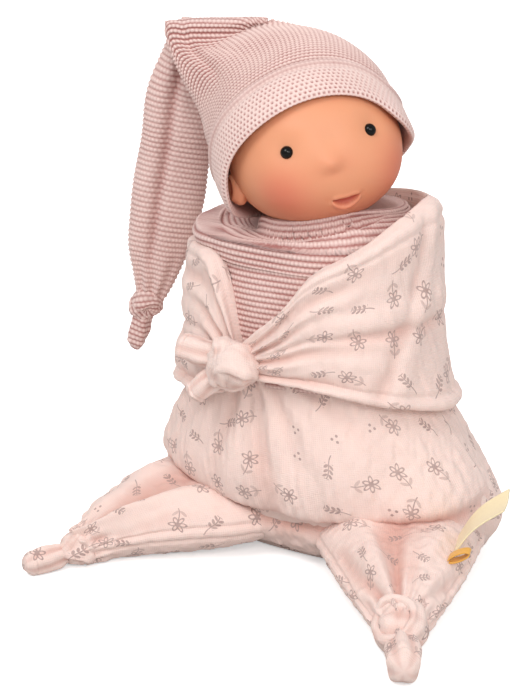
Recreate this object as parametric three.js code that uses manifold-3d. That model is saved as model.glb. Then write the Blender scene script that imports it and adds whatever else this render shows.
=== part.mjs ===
// A sitting comforter baby doll: a soft vinyl head in a long knitted cap, a knitted body with a cowl,
// and a muslin sack whose four corners are the limbs. Two corners are tied over the chest, two are legs.
// Millimetres, +Z up, the doll faces -Y and its own left is +X. The origin is under the seat, on the floor.
import * as THREE from 'three';
import { mergeVertices } from 'three/addons/utils/BufferGeometryUtils.js';
import Module from 'manifold-3d';

const wasm = await Module();
wasm.setup();

// Driving dimensions
const gap = 0.3; // between neighbouring pieces
const overrun = 20; // how far a cutting tool reaches past what it cuts
const floorCut = 0.5; // flat worn into every soft form where it meets the floor

const torsoHeight = 178; // seat to the top of the shoulders
const seatHalfWidth = 87;
const seatHalfDepth = 55;
const muslinThickness = 5; // two gauze layers with their thin filling
const knitThickness = 2.7;
const wrapThickness = 8;
const apronDrop = 74; // shoulders down to where the front panel ends, behind the crossed corners
const apronTop = torsoHeight - apronDrop;
const cowlDrop = 28.5; // shoulders down to the top of the back panel and of the knitted body, under the cowl
const backTop = torsoHeight - cowlDrop;
const chestKnotDrop = 73; // shoulders down to the middle of the chest knot
const sideSeamY = 4;

const headRise = 17.2; // shoulders up to the centre of the head
const headShiftX = -10.9;
const headShiftY = 2.4;
const headTurn = 39.5; // degrees to the doll's left
const headPitch = 21.7; // degrees, looking up
const headLean = 12.6; // degrees, leaning to the doll's right
const neckTilt = 20; // degrees between the face's own up line and the neck
const craniumHalfWidth = 41;
const craniumHalfDepth = 40.5;
const craniumHalfHeight = 41.5;
const chinDepth = 36.5; // centre of the head to the underside of the chin
const vinylWall = 2.6;

const chinClearance = 11.5;
const neckSeatRadius = chinDepth + chinClearance; // the head rocks in this ball-shaped seat of the body
const neckBore = 11;
const neckWall = 2.4;
const neckHoleRadius = 13;
const neckFlangeDepth = 2;
const neckSeatDrop = 4.6; // from the seat's lowest point up to the neck's end
const sleeveWall = 1.5;
const tieWidth = 2.2;
const tieThickness = 1.3;

const eyeRadius = 3.1;
const eyeAzimuth = 30;
const eyeElevation = -1.5;
const eyeShankRadius = 1.2;
const eyeWasherRadius = 3.4;
const eyeWasherThickness = 1;

const mouthElevation = -43; // degrees below the head's middle
const mouthHalfWidth = 6.4;
const mouthHalfHeight = 4.2;
const mouthDepth = 2.1;

const hatHalfWidth = 44.3; // inside, over the ears
const hatShift = 1.5; // the cap sits this far to the doll's right
const hatHalfDepth = 42;
const hatDomeHeight = 46;
const hatTilt = 34; // degrees, the cap's opening leans back
const brimWidth = 24;
const brimThickness = 3;
const crownPuff = 10; // how far the crown's cloth bags out over the head's left side
const crownPuffAzimuth = 70;
const crownThickness = 2.6;
const ridgeLeft = 64.5; // middle of the fold, from the head's centre towards the doll's right
const ridgeBack = 18.6;
const ridgeRise = 48.8;
const ridgeHalfLength = 25;
const ridgeHalfThickness = 5.4;
const tailLength = 135; // fold to the start of its knot
const tailHalfWidth = 18.5;
const tailHalfThickness = 8;
const tailKnotRadius = 8.4;
const tailTipLength = 15;
const tailTipRadius = 4.4;

const legLength = 92; // hip line to the middle of the knot
const legHalfWidth = 41;
const legHalfHeight = 17;
const legLeftKnotRadius = 13;
const legRightKnotRadius = 9.5;
const legLeftTipLength = 24;
const legRightTipLength = 19;
const legLeftTipRadius = 9.5;
const legRightTipRadius = 6.8;
const legLeftHeading = 27.5; // degrees from straight ahead
const legRightHeading = -28.5;
const hipSideways = 44;
const hipForward = 10;

const chestKnotRadius = 12.4;
const knotEndRadius = 6.2;
const knotEndLength = 17;

const labelLength = 36;
const labelWidth = 20;
const labelThickness = 0.8;
const loopLength = 12;
const loopHeight = 5;
const loopThickness = 0.9;
const loopWidth = 5;

// Plain helpers
const degree = Math.PI / 180;
const half = 0.5;
const vector = (x, y, z) => new THREE.Vector3(x, y, z);

function solidFrom(geometry) {
  const bare = geometry.clone();
  bare.deleteAttribute('normal');
  bare.deleteAttribute('uv');
  const merged = mergeVertices(bare);
  const vertProperties = new Float32Array(merged.attributes.position.array);
  const triVerts = new Uint32Array(merged.index.array);
  if (volumeOf(vertProperties, triVerts) < 0) triVerts.reverse();
  return new wasm.Manifold(new wasm.Mesh({ numProp: 3, vertProperties, triVerts }));
}

function geometryFrom(solid) {
  const result = solid.getMesh();
  const geometry = new THREE.BufferGeometry();
  geometry.setAttribute('position', new THREE.BufferAttribute(result.vertProperties, 3));
  geometry.setIndex(new THREE.BufferAttribute(result.triVerts, 1));
  geometry.computeVertexNormals();
  return geometry;
}

function placed(geometry, position, rotation = new THREE.Euler()) {
  const matrix = new THREE.Matrix4().makeRotationFromEuler(rotation).setPosition(position);
  return geometry.clone().applyMatrix4(matrix);
}

// Six times the volume; negative where the faces point inwards
function volumeOf(positions, index) {
  let volume = 0;
  for (let i = 0; i < index.length; i += 3) {
    const [a, b, c] = [0, 1, 2].map((k) => vector(0, 0, 0).fromArray(positions, 3 * index[i + k]));
    volume += a.dot(b.cross(c));
  }
  return volume;
}

// Skins a list of rings of points. An open loft gets a fan over each end.
function loft(rings, closed = false) {
  const count = rings[0].length;
  const points = rings.flat();
  const index = [];
  const spans = closed ? rings.length : rings.length - 1;
  for (let r = 0; r < spans; r++) {
    const low = r * count;
    const high = ((r + 1) % rings.length) * count;
    for (let i = 0; i < count; i++) {
      const j = (i + 1) % count;
      index.push(low + i, low + j, high + j);
      index.push(low + i, high + j, high + i);
    }
  }
  if (!closed) {
    const ends = [rings[0], rings[rings.length - 1]];
    ends.forEach((ring, e) => {
      const centre = ring.reduce((sum, p) => sum.add(p), vector(0, 0, 0)).divideScalar(count);
      const first = e * (rings.length - 1) * count;
      for (let i = 0; i < count; i++) {
        const j = (i + 1) % count;
        if (e === 0) index.push(points.length, first + j, first + i);
        else index.push(points.length, first + i, first + j);
      }
      points.push(centre);
    });
  }
  const geometry = new THREE.BufferGeometry();
  geometry.setAttribute('position', new THREE.Float32BufferAttribute(points.flatMap((p) => p.toArray()), 3));
  geometry.setIndex(index);
  return geometry;
}

// Reads a smooth curve through the rows of a table; column 0 is where each row lies.
function along(rows, place, column) {
  const last = rows.length - 1;
  let k = 0;
  while (k < last - 1 && place > rows[k + 1][0]) k++;
  const slope = (i) => {
    const before = rows[Math.max(i - 1, 0)];
    const after = rows[Math.min(i + 1, last)];
    return (after[column] - before[column]) / (after[0] - before[0]);
  };
  const span = rows[k + 1][0] - rows[k][0];
  const t = THREE.MathUtils.clamp((place - rows[k][0]) / span, 0, 1);
  const a = rows[k][column];
  const b = rows[k + 1][column];
  const rise = b - a;
  const start = slope(k) * span;
  const finish = slope(k + 1) * span;
  return a + start * t + (3 * rise - 2 * start - finish) * t * t + (start + finish - 2 * rise) * t * t * t;
}

// A soft form: rings round a path, each with its own half width and half height, square to the path.
function softForm({ path, rows, width, height, side, sides = 16, steps = 10, ripple = 0, ripples = 7, grow = 0 }) {
  const rings = [];
  for (let s = 0; s <= steps; s++) {
    const t = s / steps;
    const centre = path.getPointAt(t);
    const forward = path.getTangentAt(t);
    const across = side.clone().addScaledVector(forward, -side.dot(forward)).normalize();
    const up = forward.clone().cross(across);
    const a = width * along(rows, t, 1) + grow;
    const b = height * along(rows, t, 2) + grow;
    const ring = [];
    for (let i = 0; i < sides; i++) {
      const angle = (2 * Math.PI * i) / sides;
      const fold = 1 + ripple * t * t * Math.cos(ripples * angle);
      ring.push(centre.clone()
        .addScaledVector(across, a * fold * Math.cos(angle))
        .addScaledVector(up, b * fold * Math.sin(angle)));
    }
    rings.push(ring);
  }
  return solidFrom(loft(rings));
}

function ball(radius, centre, scale = vector(1, 1, 1), columns = 14, rows = 10) {
  const geometry = new THREE.SphereGeometry(radius, columns, rows);
  geometry.scale(scale.x, scale.y, scale.z);
  return solidFrom(placed(geometry, centre));
}

function block(low, high) {
  const size = high.clone().sub(low);
  const geometry = new THREE.BoxGeometry(size.x, size.y, size.z);
  return solidFrom(placed(geometry, low.clone().addScaledVector(size, half)));
}

// Everything under this height is cut off a form that rests on the floor
const floorSpan = 4 * seatHalfWidth;
const underFloor = block(vector(-floorSpan, -floorSpan, -floorSpan), vector(floorSpan, floorSpan, 0));

// The body: height, half width, half depth and shifts, as shares of the torso height and the seat
const bodyShares = [
  [0, 0.82, 0.66, 0, 0.22],
  [0.045, 0.93, 0.85, 0, 0.165],
  [0.124, 1, 0.96, -0.01, 0.1],
  [0.225, 0.98, 1, -0.02, 0.06],
  [0.337, 0.85, 0.96, -0.04, 0.03],
  [0.449, 0.715, 0.88, -0.065, 0],
  [0.59, 0.64, 0.835, -0.08, -0.019],
  [0.73, 0.62, 0.82, -0.08, -0.019],
  [0.843, 0.595, 0.8, -0.078, 0],
  [0.933, 0.575, 0.78, -0.075, 0.019],
  [1, 0.53, 0.725, -0.075, 0.038],
];
const bodySquareness = 2.25;
const bodySides = 28;
const bodyStations = 13;
const bodyStep = torsoHeight / bodyStations;
const bodyTable = Array.from({ length: bodyStations + 1 }, (_, k) =>
  bodyShares[0].map((_, column) => (column ? along(bodyShares, k / bodyStations, column) : k / bodyStations)));

// A point of the body's skin: azimuth from straight ahead towards the doll's left, height, outward offset
function skinPoint(azimuth, z, offset) {
  const station = THREE.MathUtils.clamp(z / bodyStep, 0, bodyStations);
  const k = Math.min(Math.floor(station), bodyStations - 1);
  const [, widthShare, depthShare, shiftXShare, shiftYShare] = bodyTable[k].map((value, column) =>
    THREE.MathUtils.lerp(value, bodyTable[k + 1][column], station - k));
  const a = seatHalfWidth * widthShare;
  const b = seatHalfDepth * depthShare;
  const sine = Math.sin(azimuth * degree);
  const cosine = -Math.cos(azimuth * degree);
  const reach = (Math.abs(sine / a) ** bodySquareness + Math.abs(cosine / b) ** bodySquareness) ** (-1 / bodySquareness);
  const x = seatHalfWidth * shiftXShare + sine * (reach + offset);
  const y = seatHalfDepth * shiftYShare + cosine * (reach + offset);
  return vector(x, y, z);
}

// All solids of the body share the same stations, so that one nests in another with an even gap
function bodySolid(offset, bottom, top) {
  const heights = bodyTable.map(([share]) => share * torsoHeight).filter((z) => z > bottom + gap && z < top - gap);
  const rings = [];
  for (const z of [bottom, ...heights, top]) {
    const ring = [];
    for (let i = 0; i < bodySides; i++) ring.push(skinPoint((360 * i) / bodySides, z, offset));
    rings.push(ring);
  }
  return solidFrom(loft(rings));
}

// The head's own frame: x to the doll's left, -y out of the face, z up the face
const headCentre = vector(headShiftX, headShiftY, torsoHeight + headRise);
const headRotation = new THREE.Euler(-headPitch * degree, -headLean * degree, headTurn * degree, 'ZXY');
const headMatrix = new THREE.Matrix4().makeRotationFromEuler(headRotation).setPosition(headCentre);
const neckAxisLocal = vector(0, -Math.sin(neckTilt * degree), Math.cos(neckTilt * degree));
const neckAxis = neckAxisLocal.clone().transformDirection(headMatrix);

// Turns a profile of [radius, height along the neck] about the neck's line, in the body's frame
function turnedOnNeck(profile, segments) {
  const lathe = new THREE.LatheGeometry(profile.map(([r, h]) => new THREE.Vector2(r, h)), segments);
  const turn = new THREE.Quaternion().setFromUnitVectors(vector(0, 1, 0), neckAxis);
  const matrix = new THREE.Matrix4().makeRotationFromQuaternion(turn).setPosition(headCentre);
  return solidFrom(lathe.applyMatrix4(matrix));
}

// The head's seat in the body is a ball; above it the turning ears and cap need more room
const roomShares = [[0.86, -0.58], [1.07, -0.55], [1.22, -0.32], [1.22, 1]];
const headRoom = turnedOnNeck([
  ...[1, 0.966, 0.866, 0.722]
    .map((level) => [neckSeatRadius * Math.sqrt(1 - level * level), -neckSeatRadius * level]),
  ...roomShares.map(([r, h]) => [neckSeatRadius * r, neckSeatRadius * h]),
  [0, neckSeatRadius],
], 28);

// Inner body
const stuffingOffset = -(muslinThickness + knitThickness + 2 * gap);
const knitInner = -(muslinThickness + gap + knitThickness);
const torsoStuffing = bodySolid(stuffingOffset, -stuffingOffset, backTop - knitThickness - gap)
  .subtract(headRoom);

const besideMuslin = block(vector(-floorSpan, -floorSpan, -overrun), vector(floorSpan, floorSpan, apronTop + gap))
  .add(block(vector(-floorSpan, sideSeamY - gap, -overrun), vector(floorSpan, floorSpan, torsoHeight)))
  .subtract(bodySolid(-(muslinThickness + gap), muslinThickness + gap, torsoHeight));
const neckHole = turnedOnNeck([[0, -neckSeatRadius - overrun], [neckHoleRadius, -neckSeatRadius - overrun],
  [neckHoleRadius, 0], [0, 0]], 24);
const knitBody = bodySolid(-gap, muslinThickness + gap, backTop)
  .subtract(besideMuslin)
  .subtract(bodySolid(knitInner, muslinThickness + gap + knitThickness, backTop - knitThickness))
  .subtract(headRoom)
  .subtract(neckHole);

// The folded collar: its outer side, as azimuth, how far it stands off the skin, top height share
const cowlShares = [
  [-180, 0.1, 0.93],
  [-135, 0.2, 0.93],
  [-95, 0.95, 0.925],
  [-60, 1, 0.93],
  [-38, 0.45, 0.94],
  [-15, 0.05, 0.945],
  [20, 0, 0.95],
  [60, 0, 0.955],
  [110, 0, 0.95],
  [180, 0.1, 0.93],
];
const cowlFlop = 9; // how far the collar's fold hangs out over the right shoulder
const cowlBottom = backTop + gap;
const cowlRollRows = [[0, 0, 0.3], [0.35, 1, 1], [0.75, 0.9, 0.75], [1, 0.4, 0.1]];

function cowlForm(grow) {
  const rings = [];
  for (const [heightShare, , flopShare] of cowlRollRows) {
    const ring = [];
    for (let i = 0; i < bodySides; i++) {
      const azimuth = (360 * i) / bodySides - 180;
      const top = torsoHeight * along(cowlShares, azimuth, 2) + grow;
      const z = cowlBottom - grow + (top - cowlBottom + grow) * heightShare;
      ring.push(skinPoint(azimuth, z, cowlFlop * flopShare * along(cowlShares, azimuth, 1) - gap + grow));
    }
    rings.push(ring);
  }
  return solidFrom(loft(rings));
}
const knitCowl = cowlForm(0).subtract(headRoom).subtract(neckHole);
const cowlCutter = cowlForm(gap);

// The sack's two panels, split along its side seams; the back one carries the seat
const muslin = bodySolid(0, 0, backTop)
  .subtract(bodySolid(-muslinThickness, muslinThickness, torsoHeight));
const frontRegion = block(vector(-floorSpan, -floorSpan, muslinThickness + gap),
  vector(floorSpan, sideSeamY - gap * half, apronTop));
const backRegion = block(vector(-floorSpan, sideSeamY + gap * half, -overrun),
  vector(floorSpan, floorSpan, backTop + overrun))
  .add(block(vector(-floorSpan, -floorSpan, -overrun), vector(floorSpan, floorSpan, muslinThickness)));
const muslinFront = muslin.intersect(frontRegion);
const muslinBack = muslin.intersect(backRegion);

// Chest knot: a lump with one band wound over it
const knotSquash = 0.86;
const bandShares = { ring: 0.62, tube: 0.42 };
const bandLean = 62; // degrees
function knotForm(radius, centre, rotation, length = 1) {
  const core = new THREE.SphereGeometry(radius, 12, 8);
  core.scale(length, knotSquash, knotSquash);
  const band = new THREE.TorusGeometry(radius * bandShares.ring, radius * bandShares.tube, 6, 14);
  band.rotateY(bandLean * degree);
  return solidFrom(placed(core, centre, rotation)).add(solidFrom(placed(band, centre, rotation)));
}
const chestKnotAzimuth = -13;
const chestKnotStandOff = gap + wrapThickness * 1.1 + chestKnotRadius * 0.2;
const chestKnotCentre = skinPoint(chestKnotAzimuth, torsoHeight - chestKnotDrop, chestKnotStandOff);
const chestKnotTurn = new THREE.Euler(0, -35 * degree, chestKnotAzimuth * degree, 'ZXY');
const chestKnot = knotForm(chestKnotRadius, chestKnotCentre, chestKnotTurn, 1.05)
  .subtract(bodySolid(gap, 0, torsoHeight));
const chestKnotCutter = knotForm(chestKnotRadius + gap, chestKnotCentre, chestKnotTurn, 1.05);

// The two upper corners, wrapped from the back over the arms to the knot.
// Azimuth, lower edge and upper edge as shares of the torso height, thickness share.
const wrapLeftShares = [
  [-8, 0.56, 0.635, 0.8],
  [8, 0.555, 0.73, 1],
  [24, 0.545, 0.835, 1.05],
  [45, 0.52, 0.9, 1.05],
  [70, 0.475, 0.965, 1],
  [95, 0.44, 0.985, 0.95],
  [125, 0.43, 0.97, 0.75],
  [155, 0.43, 0.95, 0.45],
  [172, 0.43, 0.94, 0.3],
];
const wrapRightShares = [
  [17, 0.51, 0.62, 0.8],
  [26, 0.49, 0.76, 1],
  [38, 0.47, 0.845, 1.05],
  [58, 0.45, 0.85, 1.15],
  [82, 0.43, 0.845, 1.2],
  [110, 0.425, 0.86, 1.05],
  [140, 0.425, 0.9, 0.7],
  [160, 0.43, 0.93, 0.4],
  [172, 0.43, 0.94, 0.3],
];
// Across the cloth: how far up it lies, how far out; a rolled edge below and above
const wrapSectionShares = [
  [0.03, -0.1], [0, 0.5], [0.03, 1], [0.25, 1.05], [0.5, 0.95], [0.75, 1], [0.95, 0.85], [1, 0.45], [0.97, -0.1],
  [0.5, -0.1],
];
function wrapSolid(rows, hand, grow = 0) {
  const steps = 18;
  const first = rows[0][0];
  const last = rows[rows.length - 1][0];
  const rings = [];
  for (let s = 0; s <= steps; s++) {
    const azimuth = first + ((last - first) * s) / steps;
    const low = torsoHeight * along(rows, azimuth, 1);
    const high = torsoHeight * along(rows, azimuth, 2);
    const fold = 1 + 0.12 * Math.cos(azimuth * degree * 7);
    const thickness = wrapThickness * along(rows, azimuth, 3) * fold;
    const ring = wrapSectionShares.map(([up, out]) =>
      skinPoint(hand * azimuth, low - grow + (high - low + 2 * grow) * up, gap - grow + (thickness + 2 * grow) * out));
    rings.push(ring);
  }
  return solidFrom(loft(rings));
}
const wrapInside = bodySolid(gap, -overrun, torsoHeight + overrun);
const wrapRight = wrapSolid(wrapRightShares, -1)
  .subtract(wrapInside).subtract(chestKnotCutter).subtract(cowlCutter).subtract(headRoom);
const wrapLeft = wrapSolid(wrapLeftShares, 1)
  .subtract(wrapInside).subtract(chestKnotCutter).subtract(cowlCutter).subtract(headRoom)
  .subtract(wrapSolid(wrapRightShares, -1, gap));

// The knot's two ends: one hangs down to the doll's right, one lies beside the knot
const endRows = [[0, 0.75, 0.75], [0.3, 0.95, 0.9], [0.7, 1, 0.9], [0.92, 0.8, 0.7], [1, 0.35, 0.3]];
const outward = vector(Math.sin(chestKnotAzimuth * degree), -Math.cos(chestKnotAzimuth * degree), 0);
function knotEnd({ sideways, down, out, radius, length }, grow = 0) {
  const direction = vector(sideways, 0, down).addScaledVector(outward, out).normalize();
  const start = chestKnotCentre.clone().addScaledVector(direction, chestKnotRadius * half);
  const finish = chestKnotCentre.clone().addScaledVector(direction, chestKnotRadius + length + grow);
  const path = new THREE.LineCurve3(start, finish);
  return softForm({
    path, rows: endRows, width: radius, height: radius, side: outward, sides: 10, steps: 6, grow,
  });
}
const lowEnd = { sideways: -0.72, down: -0.66, out: 0.12, radius: knotEndRadius, length: knotEndLength * 0.9 };
const sideEnd = { sideways: -0.97, down: 0.16, out: 0.02, radius: knotEndRadius * 1.1, length: knotEndLength };
const knotEndLow = knotEnd(lowEnd).subtract(chestKnotCutter).subtract(wrapInside);
const knotEndSide = knotEnd(sideEnd).subtract(chestKnotCutter).subtract(wrapInside).subtract(knotEnd(lowEnd, gap));
const wrapRightClear = wrapRight.subtract(knotEnd(lowEnd, gap)).subtract(knotEnd(sideEnd, gap));

// Legs: flat triangular cushions that taper to a knot and a stub
const legLeftRows = [
  [0, 1, 0.8], [0.16, 0.99, 1], [0.35, 0.88, 1.08], [0.55, 0.74, 1.04], [0.75, 0.56, 0.85], [0.9, 0.4, 0.64],
  [1, 0.27, 0.5],
];
const legRightRows = [
  [0, 1.04, 0.8], [0.16, 1.08, 1], [0.35, 1, 1.08], [0.55, 0.74, 1.04], [0.75, 0.46, 0.85], [0.9, 0.27, 0.64],
  [1, 0.2, 0.5],
];
const tipRows = [[0, 0.62, 0.62], [0.25, 0.9, 0.9], [0.6, 1, 1], [0.88, 0.85, 0.85], [1, 0.45, 0.45]];
function leg({ hand, heading, rows, knotRadius, tipLength, tipRadius }) {
  const forward = vector(Math.sin(heading * degree), -Math.cos(heading * degree), 0);
  const side = vector(forward.y, -forward.x, 0);
  const rootHeight = legHalfHeight * 0.92;
  const root = vector(hand * hipSideways, -hipForward, rootHeight).addScaledVector(forward, -hipForward * half);
  const knotCentre = vector(hand * hipSideways, -hipForward, knotRadius * knotSquash - floorCut)
    .addScaledVector(forward, legLength);
  const middle = root.clone().lerp(knotCentre, half);
  middle.z = legHalfHeight - floorCut;
  const path = new THREE.CatmullRomCurve3([root, middle, knotCentre]);
  const knotTurn = new THREE.Euler(0, 0, (heading - 90) * degree);
  const knot = knotForm(knotRadius, knotCentre, knotTurn, 1.02).subtract(underFloor);
  const knotCutter = knotForm(knotRadius + gap, knotCentre, knotTurn, 1.02);
  const form = (grow) => softForm({
    path, rows, width: legHalfWidth, height: legHalfHeight, side, sides: 18, steps: 10, ripple: 0.07, grow,
  });
  const body = form(0).subtract(underFloor).subtract(knotCutter).subtract(wrapInside);
  // A point on the leg's upper side: how far along it, how far out as a share of its half width
  const upperSide = (place, outShare) => {
    const rise = legHalfHeight * along(rows, place, 2) * Math.sqrt(1 - outShare * outShare);
    return path.getPointAt(place)
      .addScaledVector(side, -hand * legHalfWidth * along(rows, place, 1) * outShare)
      .add(vector(0, 0, rise));
  };
  const tipStart = knotCentre.clone().addScaledVector(forward, knotRadius * half);
  const tipEnd = knotCentre.clone().addScaledVector(forward, knotRadius + tipLength);
  tipStart.z = tipRadius - floorCut;
  tipEnd.z = tipStart.z;
  const tip = softForm({
    path: new THREE.LineCurve3(tipStart, tipEnd), rows: tipRows, width: tipRadius, height: tipRadius, side, sides: 10,
    steps: 5,
  }).subtract(underFloor).subtract(knotCutter);
  return { body, knot, tip, forward, upperSide, cutter: form(gap) };
}
const legLeft = leg({
  hand: 1, heading: legLeftHeading, rows: legLeftRows, knotRadius: legLeftKnotRadius, tipLength: legLeftTipLength,
  tipRadius: legLeftTipRadius,
});
const legRight = leg({
  hand: -1, heading: legRightHeading, rows: legRightRows, knotRadius: legRightKnotRadius,
  tipLength: legRightTipLength, tipRadius: legRightTipRadius,
});

// The face: bumps and hollows on the cranium, as azimuth, elevation, spread and height shares
const faceShares = [
  [-36, -28, 26, 0.085],
  [36, -28, 26, 0.085],
  [0, -52, 24, 0.03],
  [0, -17, 7.5, 0.085],
  [0, -36, 14, 0.02],
  [0, -50, 8, 0.035],
  [-30, -2, 13, -0.03],
  [30, -2, 13, -0.03],
];
function faceRadius(direction) {
  const down = Math.max(-direction.z, 0);
  const height = direction.z > 0 ? craniumHalfHeight : chinDepth;
  const a = craniumHalfWidth - (craniumHalfWidth - chinDepth) * down * down;
  let radius = 1 / Math.sqrt((direction.x / a) ** 2 + (direction.y / craniumHalfDepth) ** 2 + (direction.z / height) ** 2);
  for (const [azimuth, elevation, spread, share] of faceShares) {
    const towards = facing(azimuth, elevation);
    const angle = Math.acos(THREE.MathUtils.clamp(direction.dot(towards), -1, 1)) / degree;
    radius += craniumHalfWidth * share * Math.exp(-((angle / spread) ** 2));
  }
  return radius;
}
function facing(azimuth, elevation) {
  const flat = Math.cos(elevation * degree);
  return vector(flat * Math.sin(azimuth * degree), -flat * Math.cos(azimuth * degree), Math.sin(elevation * degree));
}
const headColumns = 30;
const headRowCount = 17;
const frontCrowding = 0.55; // brings the columns closer together over the face
function headForm(shrink, columns, rowCount) {
  const rings = [];
  for (let k = 1; k < rowCount; k++) {
    const elevation = -90 + (180 * k) / rowCount;
    const ring = [];
    for (let i = 0; i < columns; i++) {
      const even = (2 * Math.PI * i) / columns - Math.PI;
      const azimuth = even - frontCrowding * Math.sin(even);
      const direction = facing(azimuth / degree, elevation);
      ring.push(direction.clone().multiplyScalar(faceRadius(direction) - shrink));
    }
    rings.push(ring);
  }
  return solidFrom(loft(rings));
}

const collarOuter = neckBore + neckWall;
const collarEnd = -(neckSeatRadius - neckSeatDrop);
function turnedLocal(profile, segments) {
  const lathe = new THREE.LatheGeometry(profile.map(([r, h]) => new THREE.Vector2(r, h)), segments);
  const turn = new THREE.Quaternion().setFromUnitVectors(vector(0, 1, 0), neckAxisLocal);
  return solidFrom(lathe.applyQuaternion(turn));
}
const collar = turnedLocal([
  [0, -chinDepth * half], [collarOuter, -chinDepth * half], [collarOuter, collarEnd + neckFlangeDepth],
  [collarOuter + neckFlangeDepth, collarEnd + neckFlangeDepth], [collarOuter + neckFlangeDepth, collarEnd], [0, collarEnd],
], 24);
const bore = turnedLocal([[0, 0], [neckBore, 0], [neckBore, -neckSeatRadius - overrun], [0, -neckSeatRadius - overrun]], 20);

// Ears: a flat shell with a hollow, low on the side of the head
const earCentre = vector(craniumHalfWidth * 0.965, craniumHalfDepth * 0.1, -craniumHalfHeight * 0.2);
const earHalfHeight = 8;
const earHalfDepth = 6;
const earStandOff = 4.4;
const earDishShare = 0.64;
const earPressed = 1.1; // the left ear lies flat under the cap
function ear(hand, standOff) {
  const centre = vector(hand * earCentre.x, earCentre.y, earCentre.z);
  const shell = ball(1, centre, vector(standOff, earHalfDepth, earHalfHeight), 12, 8);
  const dish = ball(1, centre.clone().add(vector(hand * standOff, -standOff * half, 0)),
    vector(standOff, earHalfDepth, earHalfHeight).multiplyScalar(earDishShare), 8, 6);
  return shell.subtract(dish);
}

const eyeDirection = (hand) => facing(hand * eyeAzimuth, eyeElevation);
const eyeSink = eyeRadius * 0.35;
function eyePlace(hand) {
  const direction = eyeDirection(hand);
  return direction.clone().multiplyScalar(faceRadius(direction) - eyeSink);
}
// Turns a profile about the line through an eye; height counts outwards from the eye's middle
function turnedOnEye(hand, profile, segments) {
  const lathe = new THREE.LatheGeometry(profile.map(([r, h]) => new THREE.Vector2(r, h)), segments);
  const turn = new THREE.Quaternion().setFromUnitVectors(vector(0, 1, 0), eyeDirection(hand));
  const matrix = new THREE.Matrix4().makeRotationFromQuaternion(turn).setPosition(eyePlace(hand));
  return solidFrom(lathe.applyMatrix4(matrix));
}
const eyeBack = -eyeRadius * 0.3;
const eyeShankEnd = eyeBack - vinylWall - eyeWasherThickness * 3;
function eyeProfile(grow) {
  const profile = [[0, eyeShankEnd - grow], [eyeShankRadius + grow, eyeShankEnd - grow],
    [eyeShankRadius + grow, eyeBack - grow], [eyeRadius + grow, eyeBack - grow]];
  const arcSteps = 3;
  for (let i = 1; i <= arcSteps; i++) {
    const angle = (Math.PI / 2) * (i / arcSteps);
    profile.push([(eyeRadius + grow) * Math.cos(angle), (eyeRadius + grow) * Math.sin(angle)]);
  }
  profile[profile.length - 1][0] = 0;
  return profile;
}
const eyeSocket = (hand) => turnedOnEye(hand, eyeProfile(gap), 12);
const eyeBead = (hand) => turnedOnEye(hand, eyeProfile(0), 12);
const washerTop = eyeBack - vinylWall - 4 * gap;
const eyeWasher = (hand) => turnedOnEye(hand, [
  [eyeShankRadius + gap, washerTop - eyeWasherThickness], [eyeWasherRadius, washerTop - eyeWasherThickness],
  [eyeWasherRadius, washerTop], [eyeShankRadius + gap, washerTop],
  [eyeShankRadius + gap, washerTop - eyeWasherThickness],
], 12);

const mouthDirection = facing(0, mouthElevation);
const mouthMiddle = mouthDirection.clone().multiplyScalar(faceRadius(mouthDirection));
const mouthHollow = ball(1, mouthMiddle, vector(mouthHalfWidth, mouthHalfHeight, mouthDepth), 12, 6);

const headShell = headForm(0, headColumns, headRowCount)
  .add(collar)
  .add(ear(1, earPressed)).add(ear(-1, earStandOff))
  .subtract(headForm(vinylWall, 18, 10))
  .subtract(bore)
  .subtract(mouthHollow)
  .subtract(eyeSocket(1)).subtract(eyeSocket(-1));

// The cloth sleeve tied into the neck: a cup that holds the flange and seats in the body's hollow
const sleeveInner = collarOuter + gap;
const flangeRoom = collarOuter + neckFlangeDepth + gap;
const flangeTop = collarEnd + neckFlangeDepth + gap;
const tieGroove = sleeveInner + sleeveWall;
const sleeveOuter = flangeRoom + sleeveWall;
const grooveFoot = flangeTop + sleeveWall * half;
const sleeveTop = grooveFoot + tieWidth + 3 * gap;
const seatLevel = (radius) => -Math.sqrt((neckSeatRadius - gap) ** 2 - radius ** 2) + gap;
const headBare = headForm(-gap, headColumns, headRowCount).transform(headMatrix.elements);
const neckSleeve = turnedOnNeck([
  [0, collarEnd - gap], [flangeRoom, collarEnd - gap], [flangeRoom, flangeTop], [sleeveInner, flangeTop],
  [sleeveInner, sleeveTop], [tieGroove, sleeveTop], [tieGroove, grooveFoot], [sleeveOuter, flangeTop],
  [sleeveOuter, seatLevel(sleeveOuter)], [sleeveOuter * 0.6, seatLevel(sleeveOuter * 0.6)], [0, seatLevel(0)],
], 24).subtract(headBare);
const tieInner = tieGroove + gap;
const tieFoot = grooveFoot + 2 * gap;
const neckTie = turnedOnNeck([
  [tieInner, tieFoot], [tieInner + tieThickness, tieFoot], [tieInner + tieThickness, tieFoot + tieWidth],
  [tieInner, tieFoot + tieWidth], [tieInner, tieFoot],
], 24).subtract(headBare);

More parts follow.
